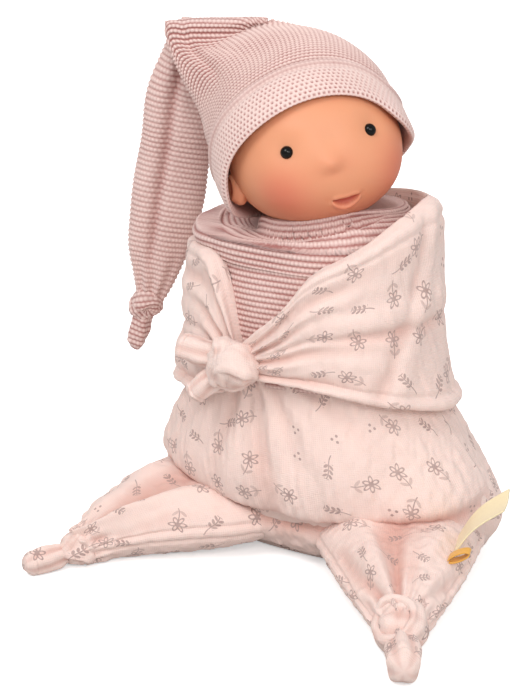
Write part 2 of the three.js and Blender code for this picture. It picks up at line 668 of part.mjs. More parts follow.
// Cap: an oval dome over the head, open downwards and forwards. Azimuth from the front towards the
// doll's left; reach is the distance along the dome from its widest line, negative below it.
const hatFront = vector(0, -Math.cos(hatTilt * degree), Math.sin(hatTilt * degree));
const hatUp = vector(0, Math.sin(hatTilt * degree), Math.cos(hatTilt * degree));
const hatSides = 28;
const quarterTurn = Math.PI / 2;
function domePoint(azimuth, reach, offset) {
  const angle = Math.min(Math.max(reach, 0) / hatDomeHeight, quarterTurn);
  const flat = Math.cos(angle);
  const height = reach > 0 ? (hatDomeHeight + offset) * Math.sin(angle) : reach;
  return vector(flat * (hatHalfWidth + offset) * Math.sin(azimuth * degree) - hatShift, 0, 0)
    .addScaledVector(hatFront, flat * (hatHalfDepth + offset) * Math.cos(azimuth * degree))
    .addScaledVector(hatUp, height);
}
// The brim's edge: azimuth, reach as a share of the cap's half width
const edgeShares = [
  [-180, 0.07], [-140, -0.09], [-105, -0.3], [-71, -0.18], [-40, -0.15], [0, -0.13], [25, -0.17], [40, -0.24],
  [55, -0.35], [75, -0.36], [100, -0.2], [140, 0], [180, 0.07],
];
const edgeReach = (azimuth) => hatHalfWidth * along(edgeShares, azimuth, 1);
const brimSectionShares = [[0, 0.5], [0.06, 1], [0.5, 1.12], [0.94, 1], [1, 0.5], [0.9, 0], [0.5, 0], [0.08, 0]];
function brimRings() {
  const rings = [];
  for (let i = 0; i < hatSides; i++) {
    const azimuth = (360 * i) / hatSides - 180;
    const edge = edgeReach(azimuth);
    rings.push(brimSectionShares.map(([up, out]) => domePoint(azimuth, edge + brimWidth * up, brimThickness * out)));
  }
  return rings;
}
function domeCutter() {
  const rings = [];
  const lowest = -hatDomeHeight - overrun;
  const dome = [lowest, 0, 0.2, 0.4, 0.6, 0.8, 0.93];
  for (const share of dome) {
    const reach = share < 0 ? share : share * hatDomeHeight * quarterTurn;
    const ring = [];
    for (let i = 0; i < hatSides; i++) ring.push(domePoint((360 * i) / hatSides - 180, reach, 0));
    rings.push(ring);
  }
  return solidFrom(loft(rings));
}
const hatHollow = domeCutter();
const hatBrim = solidFrom(loft(brimRings(), true));

// The crown's cloth runs from the brim's seam up to a flat ridge, where it folds over into the tail
const ridgeTop = headCentre.clone().add(vector(-ridgeLeft, ridgeBack, ridgeRise));
const ridgeCentre = ridgeTop.clone().applyMatrix4(headMatrix.clone().invert());
const bodyUpLocal = vector(0, 0, 1).transformDirection(headMatrix.clone().invert());
const viewSide = 30 * degree; // the ridge runs level, turned this far
const ridgeAlong = vector(Math.cos(viewSide), Math.sin(viewSide), 0);
const ridgeOut = vector(-Math.sin(viewSide), Math.cos(viewSide), 0);
const ridgeAlongLocal = ridgeAlong.clone().transformDirection(headMatrix.clone().invert());
const ridgeFrontLocal = ridgeOut.clone().negate().transformDirection(headMatrix.clone().invert());
const crownLift = 0.85 * hatDomeHeight;
const ridgeLift = 0.42 * hatDomeHeight;
const crownSteps = 6;
const foldRise = ridgeHalfThickness * 0.4;
function crownRings(inset, drop, start, offset) {
  const rings = [];
  for (let k = 0; k <= crownSteps; k++) {
    const t = k / crownSteps;
    const ring = [];
    for (let i = 0; i < hatSides; i++) {
      const azimuth = (360 * i) / hatSides - 180;
      const reach = edgeReach(azimuth) + brimWidth + start;
      const low = domePoint(azimuth, reach, offset);
      const climb = domePoint(azimuth, reach + 1, offset).sub(domePoint(azimuth, reach, offset)).normalize();
      const high = ridgeCentre.clone().addScaledVector(bodyUpLocal, -drop)
        .addScaledVector(ridgeAlongLocal, (ridgeHalfLength - inset) * Math.sin(azimuth * degree))
        .addScaledVector(ridgeFrontLocal, (ridgeHalfThickness - inset) * Math.cos(azimuth * degree));
      const curve = new THREE.CubicBezierCurve3(low, low.clone().addScaledVector(climb, crownLift),
        high.clone().addScaledVector(bodyUpLocal, -ridgeLift), high);
      const point = curve.getPoint(t);
      const puff = crownPuff * Math.sin(Math.PI * t) * Math.max(Math.cos((azimuth - crownPuffAzimuth) * degree), 0);
      ring.push(point.addScaledVector(point.clone().normalize(), puff));
    }
    rings.push(ring);
  }
  const folded = rings[crownSteps].map((p) => {
    const away = p.clone().sub(ridgeCentre).dot(ridgeFrontLocal);
    return p.clone().addScaledVector(ridgeFrontLocal, -away * half).addScaledVector(bodyUpLocal, foldRise);
  });
  return [...rings, folded];
}
function domeCap(offset) {
  const rings = [];
  const capShares = [0, 0.3, 0.55, 0.78, 0.93];
  for (const share of capShares) {
    const ring = [];
    for (let i = 0; i < hatSides; i++) {
      const azimuth = (360 * i) / hatSides - 180;
      const start = edgeReach(azimuth) + brimWidth + gap;
      ring.push(domePoint(azimuth, start + (hatDomeHeight * quarterTurn - start) * share, offset));
    }
    rings.push(ring);
  }
  return solidFrom(loft(rings));
}
const hatCrown = solidFrom(loft(crownRings(0, 0, gap, crownThickness)))
  .add(domeCap(crownThickness))
  .subtract(solidFrom(loft(crownRings(crownThickness, crownThickness * 2, -crownThickness, 0))))
  .subtract(hatHollow);

// Tail: from the ridge down its far side, as shares of its length: down, along the ridge, out
const tailPathShares = [
  [0.02, -0.04, 0.0625], [0.24, -0.11, 0.09], [0.46, -0.15, 0.095], [0.67, -0.19, 0.08], [0.84, -0.22, 0.065],
  [1, -0.25, 0.055], [1.06, -0.265, 0.052],
];
const tailRows = [
  [0, 0.6, 0.3], [0.06, 0.9, 0.6], [0.22, 1, 0.85], [0.45, 0.98, 1], [0.65, 0.96, 1.05], [0.8, 0.82, 1.02],
  [0.9, 0.58, 0.85], [1, 0.3, 0.55],
];
const tailPoint = ([down, across, out]) => ridgeTop.clone()
  .addScaledVector(vector(0, 0, -1), tailLength * down)
  .addScaledVector(ridgeAlong, tailLength * across)
  .addScaledVector(ridgeOut, tailLength * out);
const tailPath = new THREE.CatmullRomCurve3(tailPathShares.map(tailPoint));
const tailKnotCentre = tailPoint([1.07, -0.272, 0.05]);
const tailKnotTurn = new THREE.Euler(0, 90 * degree, 35 * degree, 'ZXY');
const tailKnot = knotForm(tailKnotRadius, tailKnotCentre, tailKnotTurn, 1.15);
const tailKnotCutter = knotForm(tailKnotRadius + gap, tailKnotCentre, tailKnotTurn, 1.15);
const crownOuterBody = solidFrom(loft(crownRings(-gap, -gap, gap, crownThickness + gap)))
  .transform(headMatrix.elements);
const hatTail = softForm({
  path: tailPath, rows: tailRows, width: tailHalfWidth, height: tailHalfThickness, side: ridgeAlong, sides: 16, steps: 12,
}).subtract(tailKnotCutter).subtract(crownOuterBody);
const tailTipEnd = tailKnotCentre.clone().addScaledVector(vector(0, 0, -1), tailKnotRadius + tailTipLength)
  .addScaledVector(ridgeAlong, -tailTipLength * 0.45);
const hatTailTip = softForm({
  path: new THREE.LineCurve3(tailKnotCentre, tailTipEnd), rows: tipRows, width: tailTipRadius, height: tailTipRadius,
  side: ridgeAlong, sides: 10, steps: 5,
}).subtract(tailKnotCutter);

// Label and ribbon loop, sewn into the seam on the left leg's upper side
const labelFrontShares = [0.6, 0.78]; // along the leg, out from its middle
const labelBackShares = [0.4, 0.76];
const labelRiseShares = [[0, 0.3, 0.95], [0.35, 0.62, 0.78], [0.7, 0.75, 0.66], [1, 0.9, 0.44]]; // along it: outwards, up
const labelFront = legLeft.upperSide(...labelFrontShares);
const labelAlong = legLeft.upperSide(...labelBackShares).sub(labelFront).normalize();
const legOutward = legLeft.forward.clone().cross(vector(0, 0, 1)).negate();
const labelRings = [];
const labelStep = labelLength / (labelRiseShares.length - 1);
const labelRoot = labelFront.clone().add(vector(0, 0, -gap));
for (const [, outShare, upShare] of labelRiseShares) {
  const lean = legOutward.clone().multiplyScalar(outShare).add(vector(0, 0, upShare)).normalize();
  const normal = lean.clone().cross(labelAlong).normalize().multiplyScalar(labelThickness * half);
  const far = labelRoot.clone().addScaledVector(labelAlong, labelWidth);
  labelRings.push([
    labelRoot.clone().add(normal), far.clone().add(normal), far.clone().sub(normal), labelRoot.clone().sub(normal),
  ]);
  labelRoot.addScaledVector(lean, labelStep);
}
const labelTag = solidFrom(loft(labelRings)).subtract(legLeft.cutter);

function ellipseRing(length, height, wall) {
  const shape = new THREE.Shape().absellipse(0, 0, length * half, height * half, 0, 2 * Math.PI, false);
  shape.holes.push(new THREE.Path().absellipse(0, 0, length * half - wall, height * half - wall, 0, 2 * Math.PI, true));
  return shape;
}
const loopLean = 25 * degree;
const loopGeometry = new THREE.ExtrudeGeometry(ellipseRing(loopLength, loopHeight, loopThickness),
  { depth: loopWidth, bevelEnabled: false, curveSegments: 8 })
  .translate(loopLength * half, 0, 0)
  .rotateX(quarterTurn)
  .rotateY(-loopLean);
const loopRoot = labelFront.clone().addScaledVector(labelAlong, -gap).add(vector(0, 0, loopHeight * half + gap));
const loopTurn = new THREE.Euler(0, 0, Math.atan2(labelAlong.y, labelAlong.x) - quarterTurn);
const labelLoop = solidFrom(placed(loopGeometry, loopRoot, loopTurn)).subtract(legLeft.cutter);

// Colours and materials
const knitPink = 0xdeb4b2;
const muslinBlush = 0xf5dfd8;
const skinPeach = 0xf0b894;
const fibreWhite = 0xf4f1ea;
const beadBlack = 0x120d0c;
const nylonWhite = 0xe9e7e2;
const satinCream = 0xf3e6c4;
const ribbonGold = 0xe0aa4c;

const doll = new THREE.Group();
const head = new THREE.Group();
head.position.copy(headCentre);
head.rotation.copy(headRotation);
doll.add(head);

function addPiece(parent, name, solid, color, roughness) {
  const material = new THREE.MeshStandardMaterial({ color, roughness, metalness: 0 });
  const piece = new THREE.Mesh(geometryFrom(solid), material);
  piece.name = name;
  parent.add(piece);
}

const clothRoughness = 0.95;
const vinylRoughness = 0.55;
addPiece(doll, 'torso_stuffing', torsoStuffing, fibreWhite, clothRoughness);
addPiece(doll, 'knit_body', knitBody, knitPink, clothRoughness);
addPiece(doll, 'knit_cowl', knitCowl, knitPink, clothRoughness);
addPiece(doll, 'muslin_front', muslinFront, muslinBlush, clothRoughness);
addPiece(doll, 'muslin_back', muslinBack, muslinBlush, clothRoughness);
addPiece(doll, 'wrap_left', wrapLeft, muslinBlush, clothRoughness);
addPiece(doll, 'wrap_right', wrapRightClear, muslinBlush, clothRoughness);
addPiece(doll, 'chest_knot', chestKnot, muslinBlush, clothRoughness);
addPiece(doll, 'knot_end_low', knotEndLow, muslinBlush, clothRoughness);
addPiece(doll, 'knot_end_side', knotEndSide, muslinBlush, clothRoughness);
addPiece(doll, 'neck_sleeve', neckSleeve, knitPink, clothRoughness);
addPiece(doll, 'neck_tie', neckTie, nylonWhite, vinylRoughness);
addPiece(head, 'head_shell', headShell, skinPeach, vinylRoughness);
for (const [hand, side] of [[1, 'left'], [-1, 'right']]) {
  addPiece(head, `eye_${side}`, eyeBead(hand), beadBlack, 0.1);
  addPiece(head, `eye_washer_${side}`, eyeWasher(hand), nylonWhite, vinylRoughness);
}
addPiece(head, 'hat_brim', hatBrim, knitPink, clothRoughness);
addPiece(head, 'hat_crown', hatCrown, knitPink, clothRoughness);
addPiece(doll, 'hat_tail', hatTail, knitPink, clothRoughness);
addPiece(doll, 'hat_tail_knot', tailKnot, knitPink, clothRoughness);
addPiece(doll, 'hat_tail_tip', hatTailTip, knitPink, clothRoughness);
for (const [side, limb] of [['left', legLeft], ['right', legRight]]) {
  addPiece(doll, `leg_${side}`, limb.body, muslinBlush, clothRoughness);
  addPiece(doll, `leg_${side}_knot`, limb.knot, muslinBlush, clothRoughness);
  addPiece(doll, `leg_${side}_tip`, limb.tip, muslinBlush, clothRoughness);
}
addPiece(doll, 'label_tag', labelTag, satinCream, 0.5);
addPiece(doll, 'label_loop', labelLoop, ribbonGold, 0.6);

export default doll;
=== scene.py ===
import math

import bpy
import numpy as np
from bpy.props import FloatProperty, FloatVectorProperty, PointerProperty
from mathutils import Matrix, Vector


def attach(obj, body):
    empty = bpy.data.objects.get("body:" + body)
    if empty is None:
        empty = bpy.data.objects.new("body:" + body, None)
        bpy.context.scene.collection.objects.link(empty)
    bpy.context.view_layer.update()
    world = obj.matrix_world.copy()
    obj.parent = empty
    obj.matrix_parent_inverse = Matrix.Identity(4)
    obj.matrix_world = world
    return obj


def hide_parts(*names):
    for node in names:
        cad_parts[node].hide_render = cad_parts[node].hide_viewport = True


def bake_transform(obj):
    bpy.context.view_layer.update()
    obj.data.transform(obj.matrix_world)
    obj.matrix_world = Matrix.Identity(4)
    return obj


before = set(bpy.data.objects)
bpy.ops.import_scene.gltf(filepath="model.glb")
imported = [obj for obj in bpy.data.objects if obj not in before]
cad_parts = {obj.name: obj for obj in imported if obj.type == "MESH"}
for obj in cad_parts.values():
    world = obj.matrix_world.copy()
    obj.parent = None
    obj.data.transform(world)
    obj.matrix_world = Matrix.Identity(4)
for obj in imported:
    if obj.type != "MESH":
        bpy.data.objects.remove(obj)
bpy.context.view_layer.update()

# A sitting comforter baby doll: a soft vinyl head in a long knitted cap, a knitted body with a cowl, and a
# muslin sack whose corners are tied as arms and legs. The functions count in millimetres, and a mesh turns to
# metres when it is made. The doll faces -Y, its own left is +X, and the floor is at height 0.

bl_info = {
    "name": "Comforter baby doll",
    "version": (1, 0, 0),
    "blender": (4, 5, 0),
    "location": "View3D > Sidebar > Doll",
    "description": "Builds the cloth, knit and vinyl of a sitting comforter doll on its packed frame",
    "category": "Add Mesh",
}

MM = 0.001
TURN = 2 * math.pi


def linear(hex_colour):
    """An sRGB hex colour as linear red, green, blue and alpha."""
    parts = [int(hex_colour[i : i + 2], 16) / 255 for i in (1, 3, 5)]
    return tuple(p / 12.92 if p <= 0.04045 else ((p + 0.055) / 1.055) ** 2.4 for p in parts) + (1.0,)


# Sizes and colours that a user would change


def length(name, about, default):
    """A length that a user can change, in metres."""
    return FloatProperty(name=name, description=about, default=default, unit="LENGTH")


def shade(name, about, hex_colour):
    """A colour that a user can change, given as an sRGB hex colour."""
    colour = linear(hex_colour)
    return FloatVectorProperty(name=name, description=about, subtype="COLOR", size=4, default=colour)


class DollSizes(bpy.types.PropertyGroup):
    """Pattern scales and depths of the cloths"""

    garter_ridge: length("Garter ridge", "Pitch of the knit's ridges", 0.0026)
    stitch_width: length("Stitch width", "Width of one knitted stitch", 0.0021)
    ridge_depth: length("Ridge depth", "Height of a knitted ridge", 0.0009)
    sprig_spacing: length("Sprig spacing", "Distance between printed sprigs", 0.019)
    crinkle_depth: length("Crinkle depth", "Depth of the double gauze's puckers", 0.0005)


class DollColours(bpy.types.PropertyGroup):
    """Colours of the doll's cloths and mouldings"""

    knit: shade("Knit", "Ridges of the cotton knit", "#ead0c9")
    knit_valley: shade("Knit valley", "Shade between the ridges", "#a56c66")
    muslin: shade("Muslin", "Blush double gauze", "#ebd1c8")
    # Painted shade: the muslin's deeper, pinker tone where it lies in creases
    muslin_crease_shade: shade("Muslin in folds", "Light through cloth in its creases", "#cf9a8c")
    sprig: shade("Sprig", "Printed sprigs", "#a08681")
    skin: shade("Skin", "Vinyl of the head", "#e29d76")
    cheek: shade("Cheek", "Sprayed blush", "#d8785e")
    mouth: shade("Mouth", "Sprayed inside of the mouth", "#c05843")
    bead: shade("Bead", "Eye beads", "#060404")
    label: shade("Label", "Blank satin label", "#ecdcb4")
    ribbon: shade("Ribbon", "Ribbon loop", "#e2a849")


# Nodes and materials


class Field:
    """A value that varies over a surface: what is worked out with it becomes nodes of the same tree."""

    def __init__(self, tree, socket):
        self.tree = tree
        self.socket = socket

    def math(self, operation, *others):
        return add(self.tree, "Math", self, *others, operation=operation)

    def __add__(self, other):
        return self.math("ADD", other)

    def __sub__(self, other):
        return self.math("SUBTRACT", other)

    def __mul__(self, other):
        return self.math("MULTIPLY", other)

    def __lt__(self, other):
        return self.math("LESS_THAN", other)

    def __gt__(self, other):
        return self.math("GREATER_THAN", other)


def add(tree, kind, *values, out=0, inputs=None, **settings):
    """Adds a shader node, sets it up, fills or links its inputs, and gives back one of its outputs."""
    node = tree.nodes.new("ShaderNode" + kind)
    for name, value in settings.items():
        setattr(node, name, value)
    for key, value in {**dict(enumerate(values)), **(inputs or {})}.items():
        if isinstance(value, Field):
            tree.links.new(value.socket, node.inputs[key])
        else:
            node.inputs[key].default_value = value
    return Field(tree, node.outputs[out])


def material(name):
    """A new material, its node tree, and a function that links a finished surface to its output."""
    made = bpy.data.materials.new(name)
    made.use_nodes = True
    tree = made.node_tree
    tree.nodes.clear()
    output = tree.nodes.new("ShaderNodeOutputMaterial")

    def surface(shader):
        tree.links.new(shader.socket, output.inputs["Surface"])
        return made

    return tree, surface


def cotton_knit(name, colours):
    """Matt cotton yarn, garter-knitted: pale tops, painted shade of deeper pink in the valleys, and a soft
    halo of fibres.
    """
    tree, surface = material(name)
    place = add(tree, "TexCoord", out=3)
    # The yarn's ply, 0.5 mm, drawn just coarse enough to show in the render
    ply = add(tree, "TexNoise", inputs={"Vector": place, "Scale": 1400.0, "Detail": 3.0, "Roughness": 0.6})
    patch = add(tree, "TexNoise", inputs={"Vector": place, "Scale": 45.0, "Detail": 4.0})
    # The knit's relief picks its colour: low stitches and valleys take the valley colour as painted shade
    relief = add(tree, "Attribute", attribute_name="relief", out=2)
    colour = add(tree, "ValToRGB", relief + (ply * 0.5 - 0.25) + (patch * 0.3 - 0.15))
    ramp = colour.socket.node.color_ramp
    ramp.elements[0].position = 0.0
    ramp.elements[0].color = colours.knit_valley
    ramp.elements[1].position = 0.85
    ramp.elements[1].color = colours.knit
    middle = ramp.elements.new(0.38)
    middle.color = [0.42 * a + 0.58 * b for a, b in zip(colours.knit_valley, colours.knit)]
    bump = add(tree, "Bump", inputs={"Strength": 0.6, "Distance": 0.0003, "Height": ply})
    return surface(add(tree, "BsdfPrincipled", inputs={
        "Base Color": colour, "Roughness": 0.92, "Specular IOR Level": 0.2, "Sheen Weight": 0.25,
        "Sheen Roughness": 0.5, "Sheen Tint": (1.0, 0.93, 0.92, 1.0), "Normal": bump}))


def folded(x, y, count):
    """A point's distance from (0, 0), and where it lies along and across the nearest of count equal rays."""
    away = (x * x + y * y).math("SQRT")
    angle = (y.math("ARCTAN2", x) + TURN).math("PINGPONG", math.pi / count)
    return away, away * angle.math("COSINE"), away * angle.math("SINE")


def slanted(x, y, along, across):
    """1 inside a small ellipse that leans by 45 degrees, 0 outside it."""
    along, across = (x + y) * along, (y - x) * across
    return along * along + across * across < 1.0


def sprig_print(tree, spacing):
    """The share of ink at a point of the cloth: a daisy, an ear of grain or three dots in each cell."""
    flat = add(tree, "UVMap", uv_map="cloth")
    cells = add(tree, "TexVoronoi", voronoi_dimensions="2D", out=2, inputs={
        "Vector": flat, "Scale": 1 / spacing, "Randomness": 0.62})
    chance = add(tree, "SeparateColor", Field(tree, cells.socket.node.outputs["Color"]))
    # From the middle of the cell, turned by chance
    offset = add(tree, "VectorMath", flat, cells, operation="SUBTRACT")
    turned = add(tree, "VectorRotate", rotation_type="Z_AXIS", inputs={
        "Vector": offset, "Angle": chance * TURN})
    # The figures are drawn 9 mm high and printed at 12 mm
    turned = add(tree, "VectorMath", turned, (0.76, 0.76, 0.76), operation="MULTIPLY")
    x = add(tree, "SeparateXYZ", turned)
    y = Field(tree, x.socket.node.outputs["Y"])
    kind = Field(tree, chance.socket.node.outputs["Green"])
    # Stem: a thin line with a slow bend
    off_stem = x - (y * 0.55).math("SINE") * 0.45
    side = off_stem.math("ABSOLUTE")
    ear_top = y < 4.4
    stem = (side < 0.2) * (y > -4.6)
    # Six petals round (0, 2.3), and two leaves low on the stem
    away, ahead, aside = folded(off_stem, y - 2.3, 6)
    ahead, aside = (ahead - 1.75) * (1 / 1.2), aside * (1 / 0.62)
    petal = ((ahead * ahead + aside * aside).math("SQRT") - 1.0).math("ABSOLUTE") < 0.3
    leaf = slanted(side - 1.3, y + 2.3, 0.47, 1.25) * 0.55
    flower = petal.math("MAXIMUM", away < 0.55).math("MAXIMUM", stem * (y < 0.9)).math("MAXIMUM", leaf)
    # Grains on both sides of the ear
    grain = slanted(side - 0.95, (y + 30.0).math("MODULO", 1.7) - 0.85, 0.75, 1.5)
    ear = (grain * (y > -1.4) * ear_top).math("MAXIMUM", stem * ear_top)
    # Three dots
    away, ahead, aside = folded(x, y, 3)
    ahead = ahead - 1.3
    dots = ahead * ahead + aside * aside < 0.3
    # Which figure this cell holds
    is_flower, is_dots = kind < 0.4, kind > 0.8
    is_ear = (is_flower + is_dots) * -1.0 + 1.0
    return flower * is_flower + ear * is_ear + dots * is_dots


def double_gauze(name, colours, sizes, printed=True):
    """Two layers of open cotton gauze tacked in a grid: matt and puckered, printed with small grey sprigs."""
    tree, surface = material(name)
    place = add(tree, "TexCoord", out=3)
    # Threads 0.6 mm apart, drawn at 1 mm so that they show; puckers between the tacks, about 5 mm
    flat = add(tree, "UVMap", uv_map="cloth")
    warp, weft = (add(tree, "TexWave", bands_direction=way, inputs={
        "Vector": flat, "Scale": 0.31, "Distortion": 1.2, "Detail Scale": 1.0}) for way in "XY")
    weave = warp + weft
    pucker = add(tree, "TexNoise", inputs={"Vector": place, "Scale": 210.0, "Detail": 3.0, "Roughness": 0.55})
    cloud = add(tree, "TexNoise", inputs={"Vector": place, "Scale": 30.0, "Detail": 3.0})
    value = cloud * 0.16 + 0.92 + (weave * 0.03 - 0.03)
    # Painted shade: where the fold mark is high, the cloth takes its deeper crease colour
    fold = add(tree, "Attribute", attribute_name="fold", out=2)
    shaded = add(tree, "Mix", data_type="RGBA", out=2, inputs={
        0: fold, 6: colours.muslin, 7: colours.muslin_crease_shade})
    colour = add(tree, "HueSaturation", inputs={"Color": shaded, "Value": value})
    if printed:
        ink = sprig_print(tree, sizes.sprig_spacing / MM) * (pucker * 0.6 + 0.45)
        colour = add(tree, "Mix", data_type="RGBA", out=2, inputs={0: ink, 6: colour, 7: colours.sprig})
    bump = add(tree, "Bump", inputs={
        "Strength": 0.55, "Distance": sizes.crinkle_depth * 1.6, "Height": weave * 0.16 + pucker})
    return surface(add(tree, "BsdfPrincipled", inputs={
        "Base Color": colour, "Roughness": 0.95, "Specular IOR Level": 0.15, "Sheen Weight": 0.15,
        "Sheen Roughness": 0.6, "Subsurface Weight": 0.08, "Subsurface Radius": (0.004, 0.002, 0.0015),
        "Subsurface Scale": 1.0, "Normal": bump}))


def rotocast_vinyl(name, colours):
    """Soft rotocast PVC with a satin skin: warm, faintly mottled, with sprayed cheeks and mouth."""
    tree, surface = material(name)
    place = add(tree, "TexCoord", out=3)
    cloud = add(tree, "TexNoise", inputs={"Vector": place, "Scale": 60.0, "Detail": 3.0})
    tone = add(tree, "HueSaturation", inputs={"Color": colours.skin, "Value": cloud * 0.06 + 0.97})
    blush = add(tree, "Attribute", attribute_name="blush", out=2) * 0.85
    warm = add(tree, "Mix", data_type="RGBA", out=2, inputs={0: blush, 6: tone, 7: colours.cheek})
    # The mouth mark also paints shade into the ears' hollows
    mouth = add(tree, "Attribute", attribute_name="mouth", out=2)
    colour = add(tree, "Mix", data_type="RGBA", out=2, inputs={0: mouth, 6: warm, 7: colours.mouth})
    pores = add(tree, "TexNoise", inputs={"Vector": place, "Scale": 900.0, "Detail": 2.0})
    bump = add(tree, "Bump", inputs={"Strength": 0.06, "Distance": 0.0002, "Height": pores})
    return surface(add(tree, "BsdfPrincipled", inputs={
        "Base Color": colour, "Roughness": 0.5, "IOR": 1.53, "Specular IOR Level": 0.35,
        "Subsurface Weight": 0.15, "Subsurface Radius": (0.006, 0.003, 0.002), "Subsurface Scale": 1.0,
        "Normal": bump}))


def plain_finish(name, colour, grain, roughness, specular=0.5, coat=0.0, spread=0.08, depth=0.0001,
                 sheen=0.0):
    """A moulded or woven finish with a fine grain of its own in colour and height."""
    tree, surface = material(name)
    place = add(tree, "TexCoord", out=3)
    fibre = add(tree, "TexNoise", inputs={"Vector": place, "Scale": grain, "Detail": 3.0})
    tint = add(tree, "HueSaturation", inputs={"Color": colour, "Value": fibre * spread + (1 - spread / 2)})
    bump = add(tree, "Bump", inputs={"Strength": 0.4, "Distance": depth, "Height": fibre})
    return surface(add(tree, "BsdfPrincipled", inputs={
        "Base Color": tint, "Roughness": roughness, "Specular IOR Level": specular, "Coat Weight": coat,
        "Coat Roughness": 0.03, "Sheen Weight": sheen, "Normal": bump}))


# Grids of points and the meshes made from them


def along(rows, place, column):
    """Reads a smooth curve through the rows of a table; column 0 is where each row lies."""
    table = np.asarray(rows, float)
    xs, ys = table[:, 0], table[:, column]
    place = np.asarray(place, float)
    last = len(xs) - 1
    before, after = np.maximum(np.arange(last + 1) - 1, 0), np.minimum(np.arange(last + 1) + 1, last)
    slopes = (ys[after] - ys[before]) / (xs[after] - xs[before])
    k = np.clip(np.searchsorted(xs, place, side="left") - 1, 0, last - 1)
    span = xs[k + 1] - xs[k]
    t = np.clip((place - xs[k]) / span, 0, 1)
    a, rise = ys[k], ys[k + 1] - ys[k]
    s, f = slopes[k] * span, slopes[k + 1] * span
    return a + s * t + (3 * rise - 2 * s - f) * t**2 + (s + f - 2 * rise) * t**3


def ease(low, high, value):
    """From 0 at low to 1 at high, smoothly."""
    t = np.clip((value - low) / (high - low), 0, 1)
    return t * t * (3 - 2 * t)


def bell(distance, width):
    """1 at distance 0, falling off on both sides over the width."""
    return np.exp(-((distance / width) ** 2))


def spot(x, y, width, height):
    """A bell in two directions."""
    return np.exp(-((x / width) ** 2 + (y / height) ** 2))


def around(first, last, count):
    """Even steps of a closed turn, which leave out the last."""
    return np.linspace(first, last, count, endpoint=False)


def unit(v):
    """Vectors of the same directions, each 1 long."""
    v = np.asarray(v, float)
    return v / np.maximum(np.linalg.norm(v, axis=-1, keepdims=True), 1e-9)


def ripple(points, size, seed):
    """Smooth noise from -1 to 1 over points: sums of waves in many directions, all from one seed."""
    draw = np.random.default_rng(seed)
    total = np.zeros(points.shape[:-1])
    for _ in range(10):
        way = unit(draw.normal(size=3)) * TURN / (size * draw.uniform(0.7, 1.5))
        total += np.sin(points @ way + draw.uniform(0, TURN))
    return total / 4.5


def raised(grid, amount, closed=True, looped=False, middle=None):
    """A grid moved along its normals, which point away from the middle of each row or of an open sheet."""

    def slope(axis, wraps):
        if wraps:
            return np.roll(grid, -1, axis) - np.roll(grid, 1, axis)
        return np.gradient(grid, axis=axis)

    n = unit(np.cross(slope(1, closed), slope(0, looped)))
    if middle is None:
        middle = grid.mean(axis=1, keepdims=True) if closed else grid.mean((0, 1))
    return grid + (n if (n * (grid - middle)).sum() > 0 else -n) * amount[..., None]


def arc(grid, axis):
    """Distance along the rows or columns of a grid, averaged over the others, from 0."""
    steps = np.linalg.norm(np.diff(grid, axis=axis), axis=2).mean(axis=1 - axis)
    return np.concatenate([[0], np.cumsum(steps)])


def ring_steps(grid, looped):
    """A grid with its first column again behind the last and, where its rows loop, its first row too."""
    grid = np.concatenate([grid, grid[:, :1]], 1)
    return np.concatenate([grid, grid[:1]], 0) if looped else grid


def corners(grid):
    """The four corners of each cell of a grid, in order round the cell."""
    return np.stack([grid[:-1, :-1], grid[:-1, 1:], grid[1:, 1:], grid[1:, :-1]], -1).reshape(-1, 4)


def grid_mesh(name, grids):
    """One object from grids of points, closed round; each says whether its rows loop, and holds its marks."""
    verts, faces, uvs, marked, base = [], [], [], {}, 0
    names = sorted({k for g in grids for k in g.get("marks", {})})
    for g in grids:
        points = np.asarray(g["points"], float)
        looped = g.get("looped", False)
        rows, cols = points.shape[:2]
        wrapped = ring_steps(points, looped)
        u, v = np.meshgrid(arc(wrapped, 1), arc(wrapped, 0))
        ids = np.arange(rows * cols).reshape(rows, cols) + base
        quads = corners(ring_steps(ids, looped))
        quad_uv = np.stack([corners(u), corners(v)], -1)
        own = [points.reshape(-1, 3)]
        tris, tri_uv, whole, whole_uv = [], [], [], []
        if not looped:
            for end, row in ((0, 0), (1, rows - 1)):
                flat = np.stack([u[row, :-1], v[row, :-1]], -1)
                way = 1 if end else -1
                if g.get("even_ends"):
                    whole.append(ids[row][::way].tolist())
                    whole_uv.append(flat[::way])
                    continue
                own.append(points[row].mean(axis=0)[None])
                edge = [ids[row], np.roll(ids[row], -1)][::way]
                tris.append(np.stack(edge + [np.full(cols, base + rows * cols + end)], -1))
                tri_uv.append(np.stack([flat, flat, flat], 1))
        count = sum(len(o) for o in own)
        # Faces that look inwards are turned over
        first, second, third = (own[0][quads[:, k] - base] for k in range(3))
        if (first * np.cross(second - first, third - first)).sum() < 0:
            quads, quad_uv = quads[:, ::-1], quad_uv[:, ::-1]
            tris, tri_uv = [t[:, ::-1] for t in tris], [t[:, ::-1] for t in tri_uv]
            whole, whole_uv = [w[::-1] for w in whole], [w[::-1] for w in whole_uv]
        verts += own
        for some, where in zip([quads, *tris], [quad_uv, *tri_uv]):
            faces += some.tolist()
            uvs.append(where.reshape(-1, 2))
        faces += whole
        uvs += whole_uv
        for key in names:
            value = np.zeros(count)
            if key in g.get("marks", {}):
                value[: rows * cols] = np.broadcast_to(g["marks"][key], (rows, cols)).reshape(-1)
            marked.setdefault(key, []).append(value)
        base += count
    mesh = bpy.data.meshes.new(name)
    mesh.from_pydata((np.concatenate(verts) * MM).tolist(), [], faces)
    mesh.uv_layers.new(name="cloth").data.foreach_set("uv", np.concatenate(uvs).astype(np.float32).ravel())
    for key in names:
        mesh.attributes.new(key, "FLOAT", "POINT").data.foreach_set(
            "value", np.concatenate(marked[key]).astype(np.float32))
    mesh.polygons.foreach_set("use_smooth", [True] * len(mesh.polygons))
    mesh.update()
    piece = bpy.data.objects.new(name, mesh)
    bpy.context.scene.collection.objects.link(piece)
    return piece


